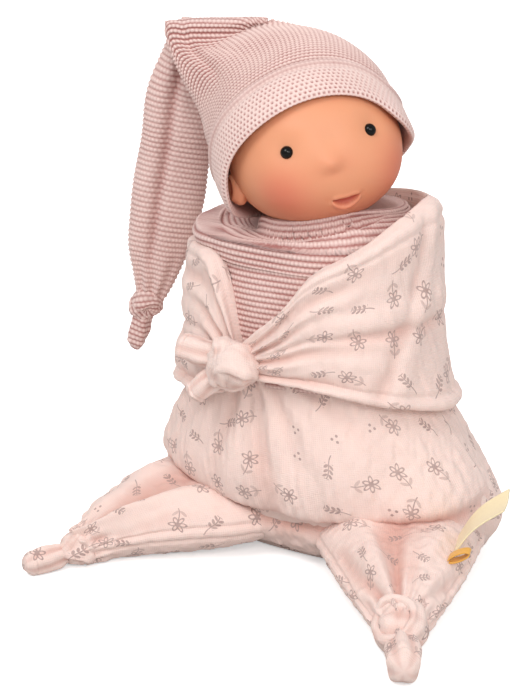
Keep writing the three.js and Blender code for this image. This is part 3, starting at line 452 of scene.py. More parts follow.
def make(name, grids, finish, body=None, nodes=()):
    """A piece with its material and body, in place of the frame nodes it stands for."""
    piece = grid_mesh(name, grids)
    piece.data.materials.append(finish)
    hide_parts(*nodes)
    if body:
        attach(piece, body)
    return piece


def garter(u, v, sizes):
    """Garter stitch from 0 to 1: a ridge every pitch, made of purl bumps that step half a stitch each row."""
    row = v / (sizes.garter_ridge / MM)
    ridge = 0.5 + 0.5 * np.cos(TURN * row)
    step = np.where(np.floor(row + 0.5) % 2 < 1, 0.0, 0.5)
    bump = 0.5 + 0.5 * np.cos(TURN * (u / (sizes.stitch_width / MM) + step))
    return ridge**0.7 * (0.5 + 0.5 * bump)


def whole_stitches(length, sizes):
    """The length nearest to one that a whole number of stitches fills."""
    stitch = sizes.stitch_width / MM
    return round(length / stitch) * stitch


def lattice(u, v, width, pitch):
    """Knit of the cap's band from 0 to 1: small holes in staggered rows between raised stitches."""
    row = v / pitch
    step = np.where(np.floor(row) % 2 < 1, 0.0, 0.5)
    across = np.cos(TURN * (u / width + step))
    hole = np.clip(0.5 - across, 0, 1) ** 0.9 * (0.5 - 0.5 * np.cos(TURN * row)) ** 0.9
    return 1 - hole



# The doll's own measures, the same as its frame's

GAP = 0.3
TORSO_HEIGHT, SEAT_HALF_WIDTH, SEAT_HALF_DEPTH = 178, 87, 55
MUSLIN, KNIT, WRAP = 5, 2.7, 8
BODY_SHARES = [
    [0, 0.82, 0.66, 0, 0.22], [0.045, 0.93, 0.85, 0, 0.165], [0.124, 1, 0.96, -0.01, 0.1],
    [0.225, 0.98, 1, -0.02, 0.06], [0.337, 0.85, 0.96, -0.04, 0.03], [0.449, 0.715, 0.88, -0.065, 0],
    [0.59, 0.64, 0.835, -0.08, -0.019], [0.73, 0.62, 0.82, -0.08, -0.019], [0.843, 0.595, 0.8, -0.078, 0],
    [0.933, 0.575, 0.78, -0.075, 0.019], [1, 0.53, 0.725, -0.075, 0.038],
]
SQUARENESS = 2.25


def skin_point(azimuth, z, offset):
    """A point of the body's skin, by degrees from straight ahead to its left, height and distance out."""
    azimuth, z, offset = np.broadcast_arrays(*(np.asarray(x, float) for x in (azimuth, z, offset)))
    share = np.clip(z / TORSO_HEIGHT, 0, 1)
    a, b = SEAT_HALF_WIDTH * along(BODY_SHARES, share, 1), SEAT_HALF_DEPTH * along(BODY_SHARES, share, 2)
    sine, cosine = np.sin(np.radians(azimuth)), -np.cos(np.radians(azimuth))
    reach = (np.abs(sine / a) ** SQUARENESS + np.abs(cosine / b) ** SQUARENESS) ** (-1 / SQUARENESS)
    x = SEAT_HALF_WIDTH * along(BODY_SHARES, share, 3) + sine * (reach + offset)
    y = SEAT_HALF_DEPTH * along(BODY_SHARES, share, 4) + cosine * (reach + offset)
    return np.stack([x, y, z], -1)


HEAD = np.array([-10.9, 2.4, 195.2])
SEAT_BALL = 48.0
# The head's own frame: x to its left, -y out of the face, z up the face
pitch, lean, turn = (math.radians(a) for a in (-21.7, -12.6, 39.5))
HEAD_TURN = np.array(
    Matrix.Rotation(turn, 3, "Z") @ Matrix.Rotation(pitch, 3, "X") @ Matrix.Rotation(lean, 3, "Y"))
NECK_LOCAL = np.array([0, -math.sin(math.radians(20)), math.cos(math.radians(20))])
FACE_SHARES = [
    [-36, -28, 26, 0.085], [36, -28, 26, 0.085], [0, -52, 24, 0.03], [-4, -15.5, 8, 0.036],
    [0, -36, 14, 0.02], [0, -50, 8, 0.035], [-30, -2, 13, -0.03], [30, -2, 13, -0.03], [52, -36, 26, 0.06],
    [-50, -38, 24, 0.03],
]


def to_body(points):
    """Points of the head's own frame, in the doll's frame."""
    return points @ HEAD_TURN.T + HEAD


def facing(azimuth, elevation):
    """Directions, by degrees from straight ahead to the doll's left and degrees upwards."""
    a, e = np.radians(azimuth), np.radians(elevation)
    return np.stack(np.broadcast_arrays(np.cos(e) * np.sin(a), -np.cos(e) * np.cos(a), np.sin(e)), -1)


def face_radius(d):
    """Distance from the head's middle to its skin, without the mouth."""
    down = np.maximum(-d[..., 2], 0)
    height = np.where(d[..., 2] > 0, 41.5, 36.5)
    a = 41 - 4.5 * down * down
    r = 1 / np.sqrt((d[..., 0] / a) ** 2 + (d[..., 1] / 40.5) ** 2 + (d[..., 2] / height) ** 2)
    for azimuth, elevation, spread, share in FACE_SHARES:
        angle = np.degrees(np.arccos(np.clip(d @ facing(azimuth, elevation), -1, 1)))
        r = r + 41 * share * bell(angle, spread)
    return r


MOUTH_AZIMUTH, MOUTH_ELEVATION = 3.0, -42.5


def mouth_place(d, r):
    """Where a point of the face lies from the mouth's middle: to the doll's left and up, in millimetres."""
    middle = facing(MOUTH_AZIMUTH, MOUTH_ELEVATION)
    left = unit(np.array([-middle[1], middle[0], 0.0]))
    up = np.cross(left, -middle) * -1
    up = up if up[2] > 0 else -up
    points = d * r[..., None] - middle * 40
    front = (d @ middle) > 0.7
    return np.where(front, points @ left, 99.0), np.where(front, points @ up, 99.0)


def head_grid(columns=300, rows=220):
    """The head: a round face with an open mouth, a button nose, soft brows and blushed cheeks."""
    elevation = np.linspace(-89.3, 89.3, rows)[:, None]
    even = around(-math.pi, math.pi, columns)[None]
    azimuth = np.degrees(even - 0.62 * np.sin(even))
    d = facing(azimuth, elevation)
    r = face_radius(d)
    x, y = mouth_place(d, r)
    # The open mouth is a lens: nearly straight above, bowed below, corners turned up
    lift = 0.004 * x * x
    upper = 1.35 - 0.016 * x * x + lift - 0.2 * bell(x, 1.6)
    lower = -2.75 + 0.07 * x * x + lift * 0.4
    inside = ease(-0.35, 0.35, upper - y) * ease(-0.4, 0.4, y - lower) * ease(7.0, 6.0, np.abs(x))
    span = ease(8.6, 5.0, np.abs(x))
    lip_low = 1.0 * bell(y - lower + 1.7, 1.5) * span
    lip_high = 0.45 * bell(y - upper - 0.9, 1.1) * span
    under = -0.5 * bell(y - lower + 4.6, 1.6) * ease(9, 3, np.abs(x))
    corner = sum(-0.45 * spot(x - s * 7.6, y - 0.9, 1.2, 1.6) for s in (-1, 1))
    # A button nose with a firm lower edge, a low bridge, soft brows
    nx = np.degrees(np.arctan2(d[..., 0], -d[..., 1]))
    nz = np.degrees(np.arcsin(d[..., 2]))
    tip = 0.95 * spot(nx + 4, nz + 16, 6.5, 4.0)
    beneath = -0.4 * spot(nx + 4, nz + 23, 8, 3.0)
    bridge = -0.9 * spot(nx, nz - 1.0, 9.0, 9.0)
    brows = sum(0.55 * spot(nx - s * 22, nz - 13, 14, 7) for s in (-1, 1))
    sockets = sum(-0.55 * spot(nx - s * 30, nz + 1.5, 7.5, 7.5) for s in (-1, 1))
    r = r + lip_low + lip_high + under + corner + tip + beneath + bridge + brows + sockets - 2.3 * inside
    cheek = sum(np.exp(-((np.degrees(np.arccos(np.clip(d @ facing(a, e), -1, 1))) / w) ** 2.2)) * k
                for a, e, w, k in ((-43, -27, 18, 0.9), (52, -28, 20, 0.9)))
    glow = 0.2 * spot(nx, nz + 18, 16, 9) + 0.42 * spot(nx, nz + 60, 70, 20)
    lips = 0.34 * bell(y - lower + 1.3, 1.4) * span + 0.2 * bell(y - upper - 0.6, 1.0) * span
    return {"points": to_body(d * r[..., None]),
            "marks": {"blush": np.clip(cheek + glow + lips + 0.1, 0, 1),
                      "mouth": np.clip(inside * 1.1, 0, 1)}}


def ear_grid(hand, stand_off):
    """A flat shell with a rolled rim, a hollow and a lobe, low on the side of the head."""
    e, a = np.linspace(-88, 88, 48)[:, None], around(0, 360, 64)[None]
    d = facing(a, e)
    local = d * np.array([stand_off, 6.0, 8.0])
    out = np.maximum(d[..., 0] * hand, 0)
    y, z = local[..., 1] + 0.6, local[..., 2] - 1.2
    inner = np.sqrt((y / 3.6) ** 2 + (z / 4.6) ** 2)
    hollow = ease(1.05, 0.45, inner) * out
    rim = bell(inner - 1.25, 0.22) * out
    local[..., 0] += hand * (rim * 0.7 - hollow * stand_off * 0.95)
    lobe = bell(z + 6.2, 2.4) * out
    local[..., 0] += hand * lobe * 0.5
    centre = np.array([hand * 39.57, 4.05, -8.3])
    # Painted shade in the ear's hollow: it takes more blush and the mouth's deeper colour
    return {"points": to_body(local + centre),
            "marks": {"blush": np.clip(0.35 + hollow, 0, 1), "mouth": np.clip(hollow * 1.3, 0, 1)}}


def lathe_grid(profile, centre, axis, columns=64, marks=None):
    """Turns a profile of (radius, height) about an axis through centre."""
    axis = unit(axis)
    side = unit(np.cross(axis, [0.3, 1, 0.2]))
    other = np.cross(axis, side)
    angle = around(0, TURN, columns)
    profile = np.asarray(profile, float)
    ring = np.cos(angle)[:, None] * side + np.sin(angle)[:, None] * other
    points = centre + profile[:, :1, None] * ring[None] + profile[:, 1:, None] * axis
    return {"points": points, "marks": marks or {}}


BEAD_RADIUS = 3.1


def eye_place(hand):
    """Which way an eye looks and where its bead's middle lies, in the head's own frame."""
    d = facing(hand * 30, -1.5)
    return d, d * (face_radius(d[None])[0] - BEAD_RADIUS * 0.35)


# The cap: an oval dome over the head, open downwards and forwards
HAT_FRONT = np.array([0, -math.cos(math.radians(34)), math.sin(math.radians(34))])
HAT_UP = np.array([0, math.sin(math.radians(34)), math.cos(math.radians(34))])
HAT_WIDTH, HAT_DEPTH, HAT_DOME, HAT_SHIFT = 44.3, 42, 46, 1.5
BRIM_WIDTH, BRIM_THICK, CROWN_THICK = 24, 3, 2.6
BAND_ROUND, BAND_HOLES, HOLE_PITCH = 292, 124, 2.3
EDGE_SHARES = [
    [-180, 0.07], [-140, -0.09], [-105, -0.3], [-71, -0.18], [-40, -0.15], [0, -0.13], [25, -0.17],
    [40, -0.24], [55, -0.35], [75, -0.36], [100, -0.2], [140, 0], [180, 0.07],
]


def dome_point(azimuth, reach, offset):
    """A point of the cap's dome in the head's frame: degrees round it, reach up it, distance out."""
    azimuth, reach, offset = np.broadcast_arrays(*(np.asarray(x, float) for x in (azimuth, reach, offset)))
    angle = np.minimum(np.maximum(reach, 0) / HAT_DOME, math.pi / 2)
    flat = np.cos(angle)
    height = np.where(reach > 0, (HAT_DOME + offset) * np.sin(angle), reach)
    x = flat * (HAT_WIDTH + offset) * np.sin(np.radians(azimuth)) - HAT_SHIFT
    front = flat * (HAT_DEPTH + offset) * np.cos(np.radians(azimuth))
    points = front[..., None] * HAT_FRONT + height[..., None] * HAT_UP
    points[..., 0] += x
    return points


def edge_reach(azimuth):
    """How far up the dome the band's lower edge lies, below 0 where it hangs under the dome's rim."""
    return HAT_WIDTH * along(EDGE_SHARES, azimuth, 1)


def brim_grid():
    """The doubled band: rolled lower edge, holes in staggered rows, and raised ridges over its seam."""
    columns, rows = 560, 66
    azimuth = around(-180, 180, columns)[:, None]
    outer = [[0, 0.0, 0.3], [0.06, -0.01, 0.5], [0.14, 0.02, 0.8], [0.3, 0.12, 1.02], [0.6, 0.5, 1.1],
             [0.9, 0.93, 1.02], [1, 1.0, 0.6]]
    t = np.linspace(0, 1, rows)[None]
    up, out = along(outer, t, 1), along(outer, t, 2)
    edge = edge_reach(azimuth)
    face = dome_point(azimuth, edge + BRIM_WIDTH * up, BRIM_THICK * out)
    v = arc(face, 1)[None] + 0 * azimuth
    v = v - v.max() + BRIM_WIDTH
    u = around(0, BAND_ROUND, columns)[:, None] + 0 * t
    holes = lattice(u, v, BAND_ROUND / BAND_HOLES, HOLE_PITCH)
    seam_ridges = 0.5 + 0.5 * np.cos(TURN * (v - 17.0) / 2.0)
    top = ease(15.8, 17.0, v)
    relief = (1 - top) * holes + top * (0.3 + 0.7 * seam_ridges * (0.7 + 0.3 * np.cos(TURN * u / HOLE_PITCH)))
    soft = ripple(face, 38, 11) * 0.5 * ease(0.0, 8, v) * ease(24, 16, v)
    soft += 1.1 * bell(v - 20, 2.2) - 0.7 * bell(v - 16.2, 1.0)
    face = raised(face, (relief - 0.6) * 0.8 + soft, closed=False, looped=True, middle=0)
    back = dome_point(azimuth, edge + BRIM_WIDTH * np.linspace(0.97, 0.02, 12)[None], 0.15)
    points = np.concatenate([face, back], 1)
    # The band's colour follows its relief, so its holes take the knit's valley colour as painted shade
    marks = np.concatenate([relief * 0.84, np.full(back.shape[:2], 0.4)], 1)
    return {"points": to_body(points), "looped": True, "marks": {"relief": marks}}


RIDGE_TOP = HEAD + np.array([-64.5, 18.6, 48.8])
RIDGE_ANGLE = math.radians(30)
RIDGE_ALONG = np.array([math.cos(RIDGE_ANGLE), math.sin(RIDGE_ANGLE), 0])
RIDGE_OUT = np.array([-math.sin(RIDGE_ANGLE), math.cos(RIDGE_ANGLE), 0])
RIDGE_HALF, RIDGE_THICK = 25, 5.4


def crown_grid(sizes):
    """The cap's bag: courses round it from the band's seam up to the fold, ridge by ridge."""
    columns, rows = 420, 300
    azimuth = around(-180, 180, columns)[None]
    t = np.linspace(0, 1, rows)[:, None]
    reach = edge_reach(azimuth) + BRIM_WIDTH
    start = np.sin(np.pi * np.clip(t / 0.05, 0, 0.5))
    low = dome_point(azimuth, reach + 0.3, CROWN_THICK)
    climb = unit(dome_point(azimuth, reach + 1.3, CROWN_THICK) - low)
    up = HEAD_TURN.T @ np.array([0, 0, 1.0])
    ridge = HEAD_TURN.T @ (RIDGE_TOP - HEAD)
    sine, cosine = np.sin(np.radians(azimuth)), np.cos(np.radians(azimuth))
    arch = 1.7 * (1 - sine**2) + 1.6 * ease(0, 1, sine)
    high = (ridge + RIDGE_HALF * sine[..., None] * (HEAD_TURN.T @ RIDGE_ALONG)
            - RIDGE_THICK * cosine[..., None] * (HEAD_TURN.T @ RIDGE_OUT) + arch[..., None] * up)
    p1, p2 = low + climb * 0.85 * HAT_DOME, high - up * 0.42 * HAT_DOME
    s = t[..., None]
    face = (1 - s) ** 3 * low + 3 * (1 - s) ** 2 * s * p1 + 3 * (1 - s) * s**2 * p2 + s**3 * high
    puff = 10 * np.sin(np.pi * t) * np.maximum(np.cos(np.radians(azimuth - 70)), 0)
    tent = 7.0 * ease(0.35, 0.7, t) * ease(1.0, 0.78, t) * bell(azimuth - 88, 40)
    face = face + unit(face) * puff[..., None] + up * tent[..., None]
    tuck = -1.6 * (1 - start)
    # Soft hollows where the bag hangs from the seam to the fold
    sag = ripple(face, 46, 5) * 1.1 * ease(0.0, 0.2, t) * ease(1.0, 0.85, t)
    crease = -1.3 * bell(azimuth + 62 - 26 * t, 7) * ease(0.1, 0.4, t) * ease(1, 0.8, t)
    face = raised(face, tuck + sag + crease)
    v = np.concatenate([0 * azimuth, np.cumsum(np.linalg.norm(np.diff(face, axis=0), axis=2), 0)], 0)
    round_it = np.cumsum(np.linalg.norm(face - np.roll(face, 1, 1), axis=2), 1)
    u = round_it - round_it[:, columns // 2 : columns // 2 + 1]
    # Courses lie parallel to the band's seam, one pitch apart wherever they are
    relief = np.clip(0.5 + (garter(u, v, sizes) - 0.5) * 1.3, 0, 1)
    face = raised(face, (relief - 0.5) * sizes.ridge_depth / MM * ease(1.0, 0.97, t))
    # The cloth turns over the fold in a soft round edge
    over = np.radians(np.linspace(8, 84, 9))[:, None, None]
    swing = RIDGE_HALF * sine[0][:, None] * (HEAD_TURN.T @ RIDGE_ALONG)
    crest = (ridge + swing + arch[0][:, None] * up)[None]
    folded = (crest - RIDGE_THICK * np.cos(over) * cosine[0][None, :, None] * (HEAD_TURN.T @ RIDGE_OUT)
              + up * 2.4 * np.sin(over))
    folded_relief = garter(u[-1:] + 0 * over[..., 0], v[-1:] + np.linspace(0.3, 4.2, 9)[:, None], sizes)
    folded = folded + up * ((folded_relief - 0.5) * 0.5)[..., None]
    quarter_round = HAT_DOME * math.pi / 2
    inner = [dome_point(azimuth[0], quarter_round * k * np.ones(columns), 0.6)
             for k in np.linspace(0.98, 0.62, 10)]
    inner += [dome_point(azimuth[0], reach[0] * (1 - k) + quarter_round * 0.62 * k, 0.6)
              for k in np.linspace(0.95, 0.0, 12)]
    points = np.concatenate([np.stack(inner), face, folded], 0)
    marks = np.concatenate([np.full((len(inner), columns), 0.6), relief, folded_relief], 0)
    return {"points": to_body(points), "marks": {"relief": marks}}


TAIL_LENGTH = 135
TAIL_PATH = [[0.004, -0.02, 0.03], [0.09, -0.055, 0.075], [0.24, -0.11, 0.09], [0.46, -0.15, 0.095],
             [0.67, -0.19, 0.08], [0.84, -0.22, 0.065], [1, -0.25, 0.055], [1.06, -0.265, 0.052]]
TAIL_ROWS = [[0, 0.8, 0.3], [0.06, 0.96, 0.7], [0.22, 1, 0.85], [0.45, 0.98, 1], [0.65, 0.96, 1.05],
             [0.8, 0.82, 1.02], [0.9, 0.58, 0.85], [1, 0.3, 0.55]]


def tail_point(down, across, out):
    """Points of the hanging end: down, along the fold and out of it, as shares of its length."""
    return (RIDGE_TOP - np.outer(down, [0, 0, TAIL_LENGTH]) + np.outer(across, RIDGE_ALONG) * TAIL_LENGTH
            + np.outer(out, RIDGE_OUT) * TAIL_LENGTH)


def tail_grid(sizes):
    """The hanging end: a flattened tube with a fold down its length, gathered into its knot."""
    columns, rows = 200, 330
    s = np.linspace(0, 1, rows)
    table = [[(row[0] - TAIL_PATH[0][0]) / (TAIL_PATH[-1][0] - TAIL_PATH[0][0]), *row] for row in TAIL_PATH]
    spine = tail_point(*(along(table, s, k) for k in (1, 2, 3)))
    forward = unit(np.gradient(spine, axis=0))
    across = unit(RIDGE_ALONG - forward * (forward @ RIDGE_ALONG)[:, None])
    up = np.cross(forward, across)
    angle = around(0, TURN, columns)[None]
    a, b = 18.5 * along(TAIL_ROWS, s, 1)[:, None], 8 * along(TAIL_ROWS, s, 2)[:, None]
    c, d = np.cos(angle), np.sin(angle)
    grid = spine[:, None] + (a * c)[..., None] * across[:, None] + (b * d)[..., None] * up[:, None]
    side = a * c
    gather = ease(0.72, 0.97, s)[:, None]
    middle = ease(0.0, 0.12, s)[:, None] * (1 - gather)
    # The fold runs down the tail, a third of the way in from its outer edge; pleats run into the knot
    fold = -3.4 * bell(side + 6.5 - 3 * s[:, None], 2.6) * middle
    roll = 1.3 * bell(side + 12.5, 4.2) * middle
    pleat = np.cos(9 * angle + 1.2) * 1.0 * gather
    sag = ripple(grid, 40, 21) * 0.9 * middle
    grid = raised(grid, fold + roll + pleat + sag)
    v = arc(grid, 0)[:, None] + 0 * angle
    relief = garter(angle / TURN * whole_stitches(100, sizes) + 0 * v, v, sizes)
    grid = raised(grid, (relief - 0.5) * 0.8 * sizes.ridge_depth / MM)
    # Painted shade: the knit is darker along the fold, where it lies in the hollow
    deep = bell(side + 6.5 - 3 * s[:, None], 2.2) * middle
    return {"points": grid, "marks": {"relief": (0.18 + 0.82 * relief) * (1 - 0.5 * deep)}}


def knot_grids(radius, centre, axis, up, stretch=1.0, lean=0.5, seed=1):
    """A tied knot: a puffed core with two flat, pleated bands of cloth wound over it."""
    axis = unit(axis)
    up = unit(np.asarray(up, float) - axis * (np.asarray(up, float) @ axis))
    side = np.cross(axis, up)
    frame_axes = np.stack([axis, side, up])
    e, a = np.linspace(-88, 88, 60)[:, None], around(0, 360, 90)[None]
    d = facing(a, e)
    local = d * radius * np.array([stretch * 0.94, 0.84, 0.82])
    wave = np.cos(np.radians(a) + 7 * np.sin(np.radians(e)) + seed)
    local = local * (1 + 0.035 * wave + 0.02 * np.cos(np.radians(5 * a)))[..., None]
    grids = [{"points": centre + local @ frame_axes}]
    t = around(0, TURN, 150)
    s = around(0, TURN, 56)[None]
    bands = ((lean, 0.6, 0.22, 0.16, 0.78), (lean - 1.25, 0.42, 0.2, -0.34, 0.72))
    for turn_by, wide, thick, shift, big in bands:
        ring_axis = np.array([math.cos(turn_by), math.sin(turn_by) * 0.55, math.sin(turn_by) * 0.83])
        ring_axis = unit(ring_axis)
        e1 = unit(np.cross(ring_axis, [0.1, 0.9, -0.4]))
        e2 = np.cross(ring_axis, e1)
        out = np.cos(t)[:, None] * e1 + np.sin(t)[:, None] * e2
        swell = 1 + 0.16 * np.cos(2 * t + seed) + 0.08 * np.cos(3 * t)
        scale = np.array([stretch, 0.94, 0.94])
        middle = out * radius * big * scale + ring_axis * radius * shift
        along_ring = unit(np.roll(middle, -1, 0) - np.roll(middle, 1, 0))
        outward = unit(out - along_ring * (out * along_ring).sum(1, keepdims=True))
        wideways = np.cross(along_ring, outward)
        pleat = 1 + 0.16 * np.cos(6 * s + 1.4 * np.sin(t)[:, None] * 2 + seed)
        w = radius * wide * swell[:, None] * np.cos(s)
        h = radius * thick * pleat * np.sin(s) * (1 + 0.25 * np.cos(s) ** 2)
        band = middle[:, None] + w[..., None] * wideways[:, None] + h[..., None] * outward[:, None]
        grids.append({"points": centre + band @ frame_axes, "looped": True})
    for g in grids:
        points = g["points"]
        wrinkle = ripple(points, radius * 0.9, seed) * 0.05 * radius + crinkle(points, 0.35, seed)
        # Painted shade in the knot's wrinkles, deeper where they sink in
        g["marks"] = {"fold": crease_shade(wrinkle * 4)}
        g["points"] = raised(points, wrinkle, looped=g.get("looped", False))
    return grids


def stub_grid(start, finish, side, width, height, rows, pleats=7, depth=0.09, steps=90,
              columns=96, bow=0.0):
    """A gathered end of cloth past a knot: rings along a line, pleated, closed at its hem."""
    start, finish = np.asarray(start, float), np.asarray(finish, float)
    s = np.linspace(0, 1, steps)
    forward = unit(finish - start)
    side = unit(np.asarray(side, float) - forward * (np.asarray(side, float) @ forward))
    up = np.cross(forward, side)
    spine = start + (finish - start) * s[:, None] + up * (bow * np.sin(np.pi * s))[:, None]
    angle = around(0, TURN, columns)[None]
    a, b = width * along(rows, s, 1)[:, None], height * along(rows, s, 2)[:, None]
    fold = 1 + depth * np.cos(pleats * angle + 2.2 * s[:, None]) * (1.15 - 0.75 * s[:, None])
    hem = 1 + 0.05 * bell(s - 0.86, 0.035)[:, None] - 0.06 * bell(s - 0.8, 0.02)[:, None]
    grid = (spine[:, None] + (a * fold * hem * np.cos(angle))[..., None] * side
            + (b * fold * hem * np.sin(angle))[..., None] * up)
    wrinkle = ripple(grid, width * 1.6, pleats) * 0.06 * width + crinkle(grid, 0.3, pleats)
    # Painted shade in the pleats' valleys, by their depth
    return {"points": raised(grid, wrinkle), "marks": {"fold": crease_shade((fold - 1) * 26 + 0 * wrinkle)}}


# The knitted body and the muslin sack


def slab(outer, inner, **rest):
    """A thick sheet: its outer face and its inner face, row by row, as closed rings."""
    return {"points": np.concatenate([outer, inner[:, ::-1]], 1), "even_ends": True, **rest}


BODY_FOOT = 92


def knit_body_grid(sizes):
    """The knitted body's front, seen between the wrapped corners."""
    azimuth = np.linspace(-92, 92, 250)[:, None]
    z = np.linspace(BODY_FOOT, 150.2, 150)[None]
    bulge = 1.2 * np.sin(np.pi * (z - BODY_FOOT) / 58)
    face = skin_point(azimuth, z, -GAP + bulge)
    vertical = -1.5 * bell(azimuth + 33, 4.0) * ease(150, 140, z) * ease(100, 118, z)
    u = arc(face, 0)[:, None] + 0 * z
    drape = 1.1 * np.sin(u / 27 + 1.0)
    relief = garter(u, z + drape - BODY_FOOT, sizes)
    amount = vertical + ripple(face, 34, 31) * 0.5 + (relief - 0.6) * sizes.ridge_depth / MM
    face = raised(face, amount, closed=False)
    inner = skin_point(azimuth, np.linspace(92.5, 150, 12)[None], -GAP - KNIT)
    marks = np.concatenate([relief * 0.9, np.full(inner.shape[:2], 0.5)], 1)
    return slab(face, inner, marks={"relief": marks})


def swept_radius(away):
    """How far the head's skin reaches as it turns, by degrees from its neck's axis."""
    side = np.array([1.0, 0, 0])
    other = np.cross(NECK_LOCAL, side)
    angle = np.radians(np.arange(0, 181, 3))[:, None, None]
    round_it = around(0, TURN, 60)[None, :, None]
    d = np.cos(angle) * NECK_LOCAL + np.sin(angle) * (np.cos(round_it) * side + np.sin(round_it) * other)
    return np.interp(away, np.arange(0, 181, 3), face_radius(d).max(axis=1))


def clear_of_head(z, way):
    """How far from the head's middle the wool clears its skin, level and along each way."""
    reach = np.linspace(16, 50, 69)
    points = np.concatenate([way[..., None, :] * reach[:, None] + 0 * z[..., None, None],
                             (z - HEAD[2])[..., None, None] + 0 * reach[:, None]], -1)
    size = np.linalg.norm(points, axis=-1)
    away = np.degrees(np.arccos(np.clip(points @ (HEAD_TURN @ NECK_LOCAL) / size, -1, 1)))
    free = size > swept_radius(away) + 0.9
    return reach[len(reach) - 1 - np.argmin(free[..., ::-1], axis=-1)]


COWL_SHARES = [
    [-180, 0.1, 0.915], [-135, 0.2, 0.912], [-95, 0.95, 0.91], [-60, 1, 0.91], [-38, 0.5, 0.92],
    [-15, 0.15, 0.925], [20, 0.1, 0.935], [60, 0.05, 0.955], [110, 0, 0.94], [180, 0.1, 0.915],
]
COWL_ROLL = [[0, 0.3], [0.35, 1], [0.75, 0.75], [1, 0.1]]
COWL_FOOT, LIP = 148.4, 2.0


# Under the sweep of the head and cap: distance from the neck's axis, and the highest the wool may rise
UNDER_SWEEP = [[33, -33.4], [35, -33.2], [38, -32.2], [41.3, -30.6], [51.4, -28.4], [58.6, -17.4]]
COLLAR_ROUND = 290


def cowl_grid(sizes):
    """The folded collar: courses round the neck, a soft lip, and a roll out over the right shoulder."""
    columns, rows = 520, 120
    azimuth = around(-180, 180, columns)[:, None]
    t = np.linspace(0, 1, rows)[None]
    wave = np.sin(np.radians(azimuth * 2 + 30))
    top = TORSO_HEIGHT * along(COWL_SHARES, azimuth, 2) + wave
    flop = 9 * along(COWL_SHARES, azimuth, 1)
    quarter = math.pi / 2 * t
    course = COWL_FOOT + (top - COWL_FOOT) * np.sin(quarter)
    face = skin_point(azimuth, course, flop * along(COWL_ROLL, t, 1) + 0.8)
    # Where the head sits the wool closes in to it: the lip is the seat's ball at that height
    seat = np.sqrt(np.maximum((SEAT_BALL + 0.2) ** 2 - (face[..., 2] - HEAD[2]) ** 2, 0))
    flat = face[..., :2] - HEAD[:2]
    reach = np.linalg.norm(flat, axis=2)
    snug = ease(150, 48, np.abs(azimuth - 14))
    least = seat + 2.4 - 5.2 * snug
    close = clear_of_head(face[..., 2], flat / reach[..., None]) + 1.2
    pull = (1 - np.cos(quarter)) * snug
    wanted = np.maximum(reach, least) * (1 - pull) + np.minimum(np.maximum(reach, least), close) * pull
    face[..., :2] = HEAD[:2] + flat * (wanted / reach)[..., None]
    way = unit(flat[:, -1:])
    away = np.concatenate([way, np.zeros((columns, 1, 1))], 2)
    lip = np.linspace(0, math.pi * 0.55, 14)[None, :, None]
    roll = face[:, -1:] + away * LIP * (np.cos(lip) - 1) + np.array([0, 0, LIP]) * np.sin(lip)
    face = np.concatenate([face, roll[:, 1:]], 1)
    # The turning ears and cap band pass over the wool, so it stays under their sweep round the neck's axis
    axis = HEAD_TURN @ NECK_LOCAL
    rise = (face - HEAD) @ axis
    out = np.linalg.norm(face - HEAD - rise[..., None] * axis, axis=-1)
    most = np.interp(out, *np.transpose(UNDER_SWEEP))
    face = face - axis * (np.maximum(rise - most, 0) * ease(31, 35, out))[..., None]
    # The courses keep their own height at the foot and at the lip, and take up the difference between
    steps = np.linalg.norm(np.diff(face, axis=1), axis=2)
    v = np.concatenate([0 * azimuth, np.cumsum(steps, 1)], 1)
    length = v[:, -1:]
    v = v + (length.mean() - length) * ease(0.05, 0.95, v / length)
    u = np.linspace(0, whole_stitches(COLLAR_ROUND, sizes), columns, endpoint=False)[:, None] + 0 * v
    relief = garter(u, v, sizes)
    fade = ease(-0.1, 0.12, np.linspace(0, 1, v.shape[1]))[None]
    amount = (relief - 0.6) * fade * sizes.ridge_depth / MM + ripple(face, 30, 41) * 0.5
    face = raised(face, amount, closed=False, looped=True, middle=HEAD)
    # Inside, down the seat's ball to the neck
    s = np.linspace(0.02, 1, 16)[None]
    start = np.linalg.norm(face[:, -1:, :2] - HEAD[:2], axis=2)
    radius = start + (15.5 - start) * s
    depth = HEAD[2] - np.sqrt(np.maximum(SEAT_BALL**2 - radius**2, 0))
    inner = np.concatenate([HEAD[:2] + way * radius[..., None], depth[..., None]], 2)
    inner[..., 2] = np.minimum(inner[..., 2], face[:, -1:, 2])
    floor = np.concatenate([HEAD[:2] + way * 16.0, np.full((columns, 1, 1), 150.0)], 2)
    points = np.concatenate([face, inner, floor], 1)
    marks = np.concatenate([relief * 0.88, np.full((columns, inner.shape[1] + 1), 0.4)], 1)
    return {"points": points, "looped": True, "marks": {"relief": marks}}


KNOT_AZIMUTH, KNOT_HEIGHT, KNOT_RADIUS = -13, 105, 12.4
KNOT = skin_point(KNOT_AZIMUTH, KNOT_HEIGHT, GAP + WRAP * 1.1 + KNOT_RADIUS * 0.2)
KNOT_OUT = np.array([math.sin(math.radians(KNOT_AZIMUTH)), -math.cos(math.radians(KNOT_AZIMUTH)), 0])


def seam_line(distance, width=0.8, depth=0.9):
    """A sewn edge beside distance 0: a groove where the thread pulls in, and a low cord of turned cloth."""
    return -depth * bell(distance, width) + 0.5 * depth * bell(distance - 2.2, 1.5)


def crinkle(points, depth, seed=3):
    """The puckers of double gauze between its tacks."""
    upright = points * [1, 1, 0.4]
    fine = ripple(upright, 7.0, seed) * 0.55 + ripple(upright, 4.2, seed + 1) * 0.38
    return fine * depth


def crease_shade(amount):
    """How deep a point lies in a crease, 0 to 1, from its displacement in millimetres."""
    return np.clip(-amount / 4.5, 0, 1) ** 0.8 * 0.75


FRONT_EDGE, BACK_EDGE, PANEL_STEPS = 94, 94.5, 330


